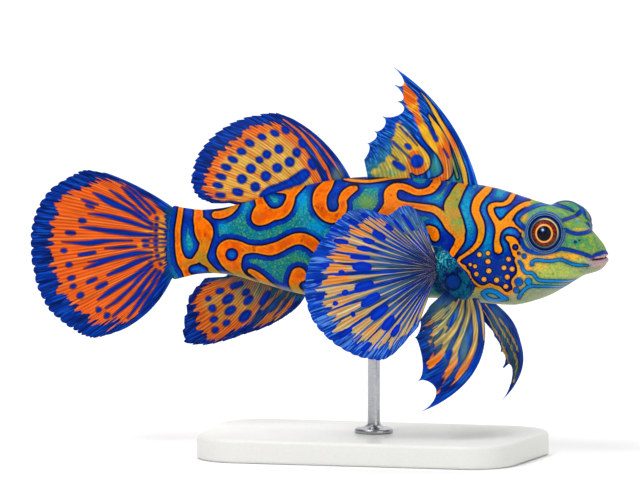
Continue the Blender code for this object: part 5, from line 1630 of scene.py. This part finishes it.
def eye_material():
    """Pupil with a painted highlight in a painted bluish reflection, gold ring, red-brown iris, cream and
    blue outer ring, under a clear wet coat.
    """
    material, w, shader = new_material("eye", 0.4, coat=0.14, coat_roughness=0.03)
    out, turn_x, turn_y = map(w.value, ("out", "turn_x", "turn_y"))
    joined = w.node("CombineXYZ", {0: turn_x, 1: turn_y, 2: w.times(out, 0.25)})
    spokes = w.noise(joined.outputs[0], 9.0, 3.0)
    iris = w.over(colour(78, 10, 12), (colour(150, 44, 20), w.ramp(spokes, 0.38, 0.64)),
                  (colour(40, 6, 14), w.ramp(out, 1.46, 1.68)))
    # Painted highlight and painted reflection: distance from a spot on the upper back of the pupil
    forward, upward = w.blend(turn_x, out, 0.16), w.blend(turn_y, out, -0.44)
    painted_highlight_gap = w.sum("SQRT", w.sum("ADD", w.times(forward, forward), w.times(upward, upward)))
    upper = w.ramp(w.sum("ADD", turn_y, turn_x), 0.2, 1.3)
    w.feed(shader.inputs["Base Color"], w.over(
        colour(0, 3, 22),
        # painted bluish reflection, then the near-white painted highlight
        (colour(34, 72, 128), w.fade(painted_highlight_gap, 0.1, 0.5, 0.55)),
        (colour(206, 226, 246), w.fade(painted_highlight_gap, 0.06, 0.2, 0.9)),
        (colour(244, 166, 74), w.ramp(out, 0.90, 0.98)),
        (iris, w.ramp(out, 1.12, 1.20)),
        (colour(70, 104, 96), w.ramp(out, 1.66, 1.72)),
        (colour(208, 190, 116), w.times(upper, w.ramp(out, 1.68, 1.74))),
        (colour(6, 32, 96), w.ramp(out, 1.82, 1.92))))
    return material


def stand_materials():
    white, w, shader = new_material("satin white acrylic", 0.32, coat=0.15)
    grain = w.noise(w.local(), 2500.0, 3.0)
    w.feed(shader.inputs["Base Color"], w.over(colour(236, 236, 232), (colour(228, 228, 224), grain)))
    w.feed(shader.inputs["Roughness"], w.ramp(grain, 0.3, 0.7, 0.28, 0.38))
    steel, w, shader = new_material("brushed steel", 0.28, metallic=1.0)
    spun = w.node("Mapping", {"Scale": (1.0, 1.0, 14.0), "Vector": w.local()})
    grain = w.noise(spun.outputs[0], 1600.0, 3.0)
    w.feed(shader.inputs["Base Color"], w.over(colour(190, 192, 196), (colour(168, 170, 174), grain)))
    w.feed(shader.inputs["Roughness"], w.ramp(grain, 0.3, 0.7, 0.22, 0.36))
    add_bump(w, shader, grain, STEEL_RELIEF, 0.3)
    return white, steel


# ---------------------------------------------------------------- studio, in metres

FLOOR_FRONT = -1.6
FLOOR_HALF = 2.2
SWEEP_AT = 0.55
SWEEP_RADIUS = 0.30
BACKDROP_TOP = 1.8
LOOK_AT = (-0.00647, 0.0, 0.02724)
CAMERA_AWAY = 0.3
NEAREST_SEEN = 0.001
VIEW_WIDTH = 640        # units of the pattern sheet
WORLD_LIGHT = 0.24
#    name       place                  aimed at             side  power
LAMPS = (
    ("key", (-0.20, -0.45, 0.70), (0.0, 0.05, 0.027), 0.45, 4.3),
    ("overhead", (0.0, 0.35, 1.10), (0.0, 0.30, 0.0), 1.10, 9.0),
    ("fill", (0.55, -0.45, 0.20), (0.0, 0.05, 0.027), 0.45, 1.0),
)


def build_studio():
    """A pale floor that sweeps up into a backdrop: a quarter circle joins the level and upright parts."""
    bend = np.linspace(0.0, 0.5 * math.pi, 24)
    run = np.concatenate(((FLOOR_FRONT, 0.0), SWEEP_AT + SWEEP_RADIUS * np.sin(bend),
                          (SWEEP_AT + SWEEP_RADIUS,)))
    rise = np.concatenate(((0.0, 0.0), SWEEP_RADIUS * (1.0 - np.cos(bend)), (BACKDROP_TOP,)))
    points = [(x, y, z) for y, z in zip(run, rise) for x in (-FLOOR_HALF, FLOOR_HALF)]
    quads = [(2 * k, 2 * k + 1, 2 * k + 3, 2 * k + 2) for k in range(len(run) - 1)]
    mesh = bpy.data.meshes.new("backdrop")
    mesh.from_pydata(points, [], quads)
    mesh.shade_smooth()
    material, w, shader = new_material("white paper", 0.9)
    w.feed(shader.inputs["Base Color"],
           w.over(colour(250, 250, 250), (colour(246, 246, 247), w.noise(w.local(), 40.0))))
    mesh.materials.append(material)
    floor = bpy.data.objects.new("backdrop", mesh)
    bpy.context.scene.collection.objects.link(floor)


def aim_object(name, data, location, direction):
    """Puts a lamp or camera into the scene, looking along a direction."""
    made = bpy.data.objects.new(name, data)
    made.location = location
    made.rotation_euler = direction.to_track_quat("-Z", "Y").to_euler()
    bpy.context.scene.collection.objects.link(made)
    return made


def light_studio():
    scene = bpy.context.scene
    scene.view_settings.view_transform = "Standard"
    world = bpy.data.worlds.new("studio")
    world.use_nodes = True
    background = world.node_tree.nodes["Background"]
    background.inputs["Color"].default_value = (1.0, 1.0, 1.0, 1.0)
    background.inputs["Strength"].default_value = WORLD_LIGHT
    scene.world = world
    for name, location, target, size, power in LAMPS:
        light = bpy.data.lights.new(name, "AREA")
        light.size = size
        light.energy = power
        aim_object(name, light, location, Vector(target) - Vector(location))


def build_camera():
    """A camera without perspective looks along the pattern sheet's own direction."""
    away = Vector((math.sin(SHEET_TURN) * math.cos(SHEET_TIP), -math.cos(SHEET_TURN) * math.cos(SHEET_TIP),
                   math.sin(SHEET_TIP)))
    data = bpy.data.cameras.new("camera")
    data.type = "ORTHO"
    data.ortho_scale = VIEW_WIDTH * SHEET_UNIT * MM
    data.clip_start = NEAREST_SEEN
    bpy.context.scene.camera = aim_object("camera", data, Vector(LOOK_AT) + away * CAMERA_AWAY, -away)


def main():
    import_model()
    skin = skin_material(speckle_group())
    eye = eye_material()
    membrane = membrane_group()
    soft, vent, tail, sail, belly, breast = (
        fin_material(name, membrane, *looks) for name, looks in FINS.items())
    white, steel = stand_materials()
    build_skin(skin)
    build_eye(-1.0, "right", eye)
    build_eye(1.0, "left", eye)
    build_median_fins(sail, soft, vent, tail)
    build_paired_fins(breast, belly)
    build_base(white)
    build_rod(steel)
    build_studio()
    light_studio()
    build_camera()


main()
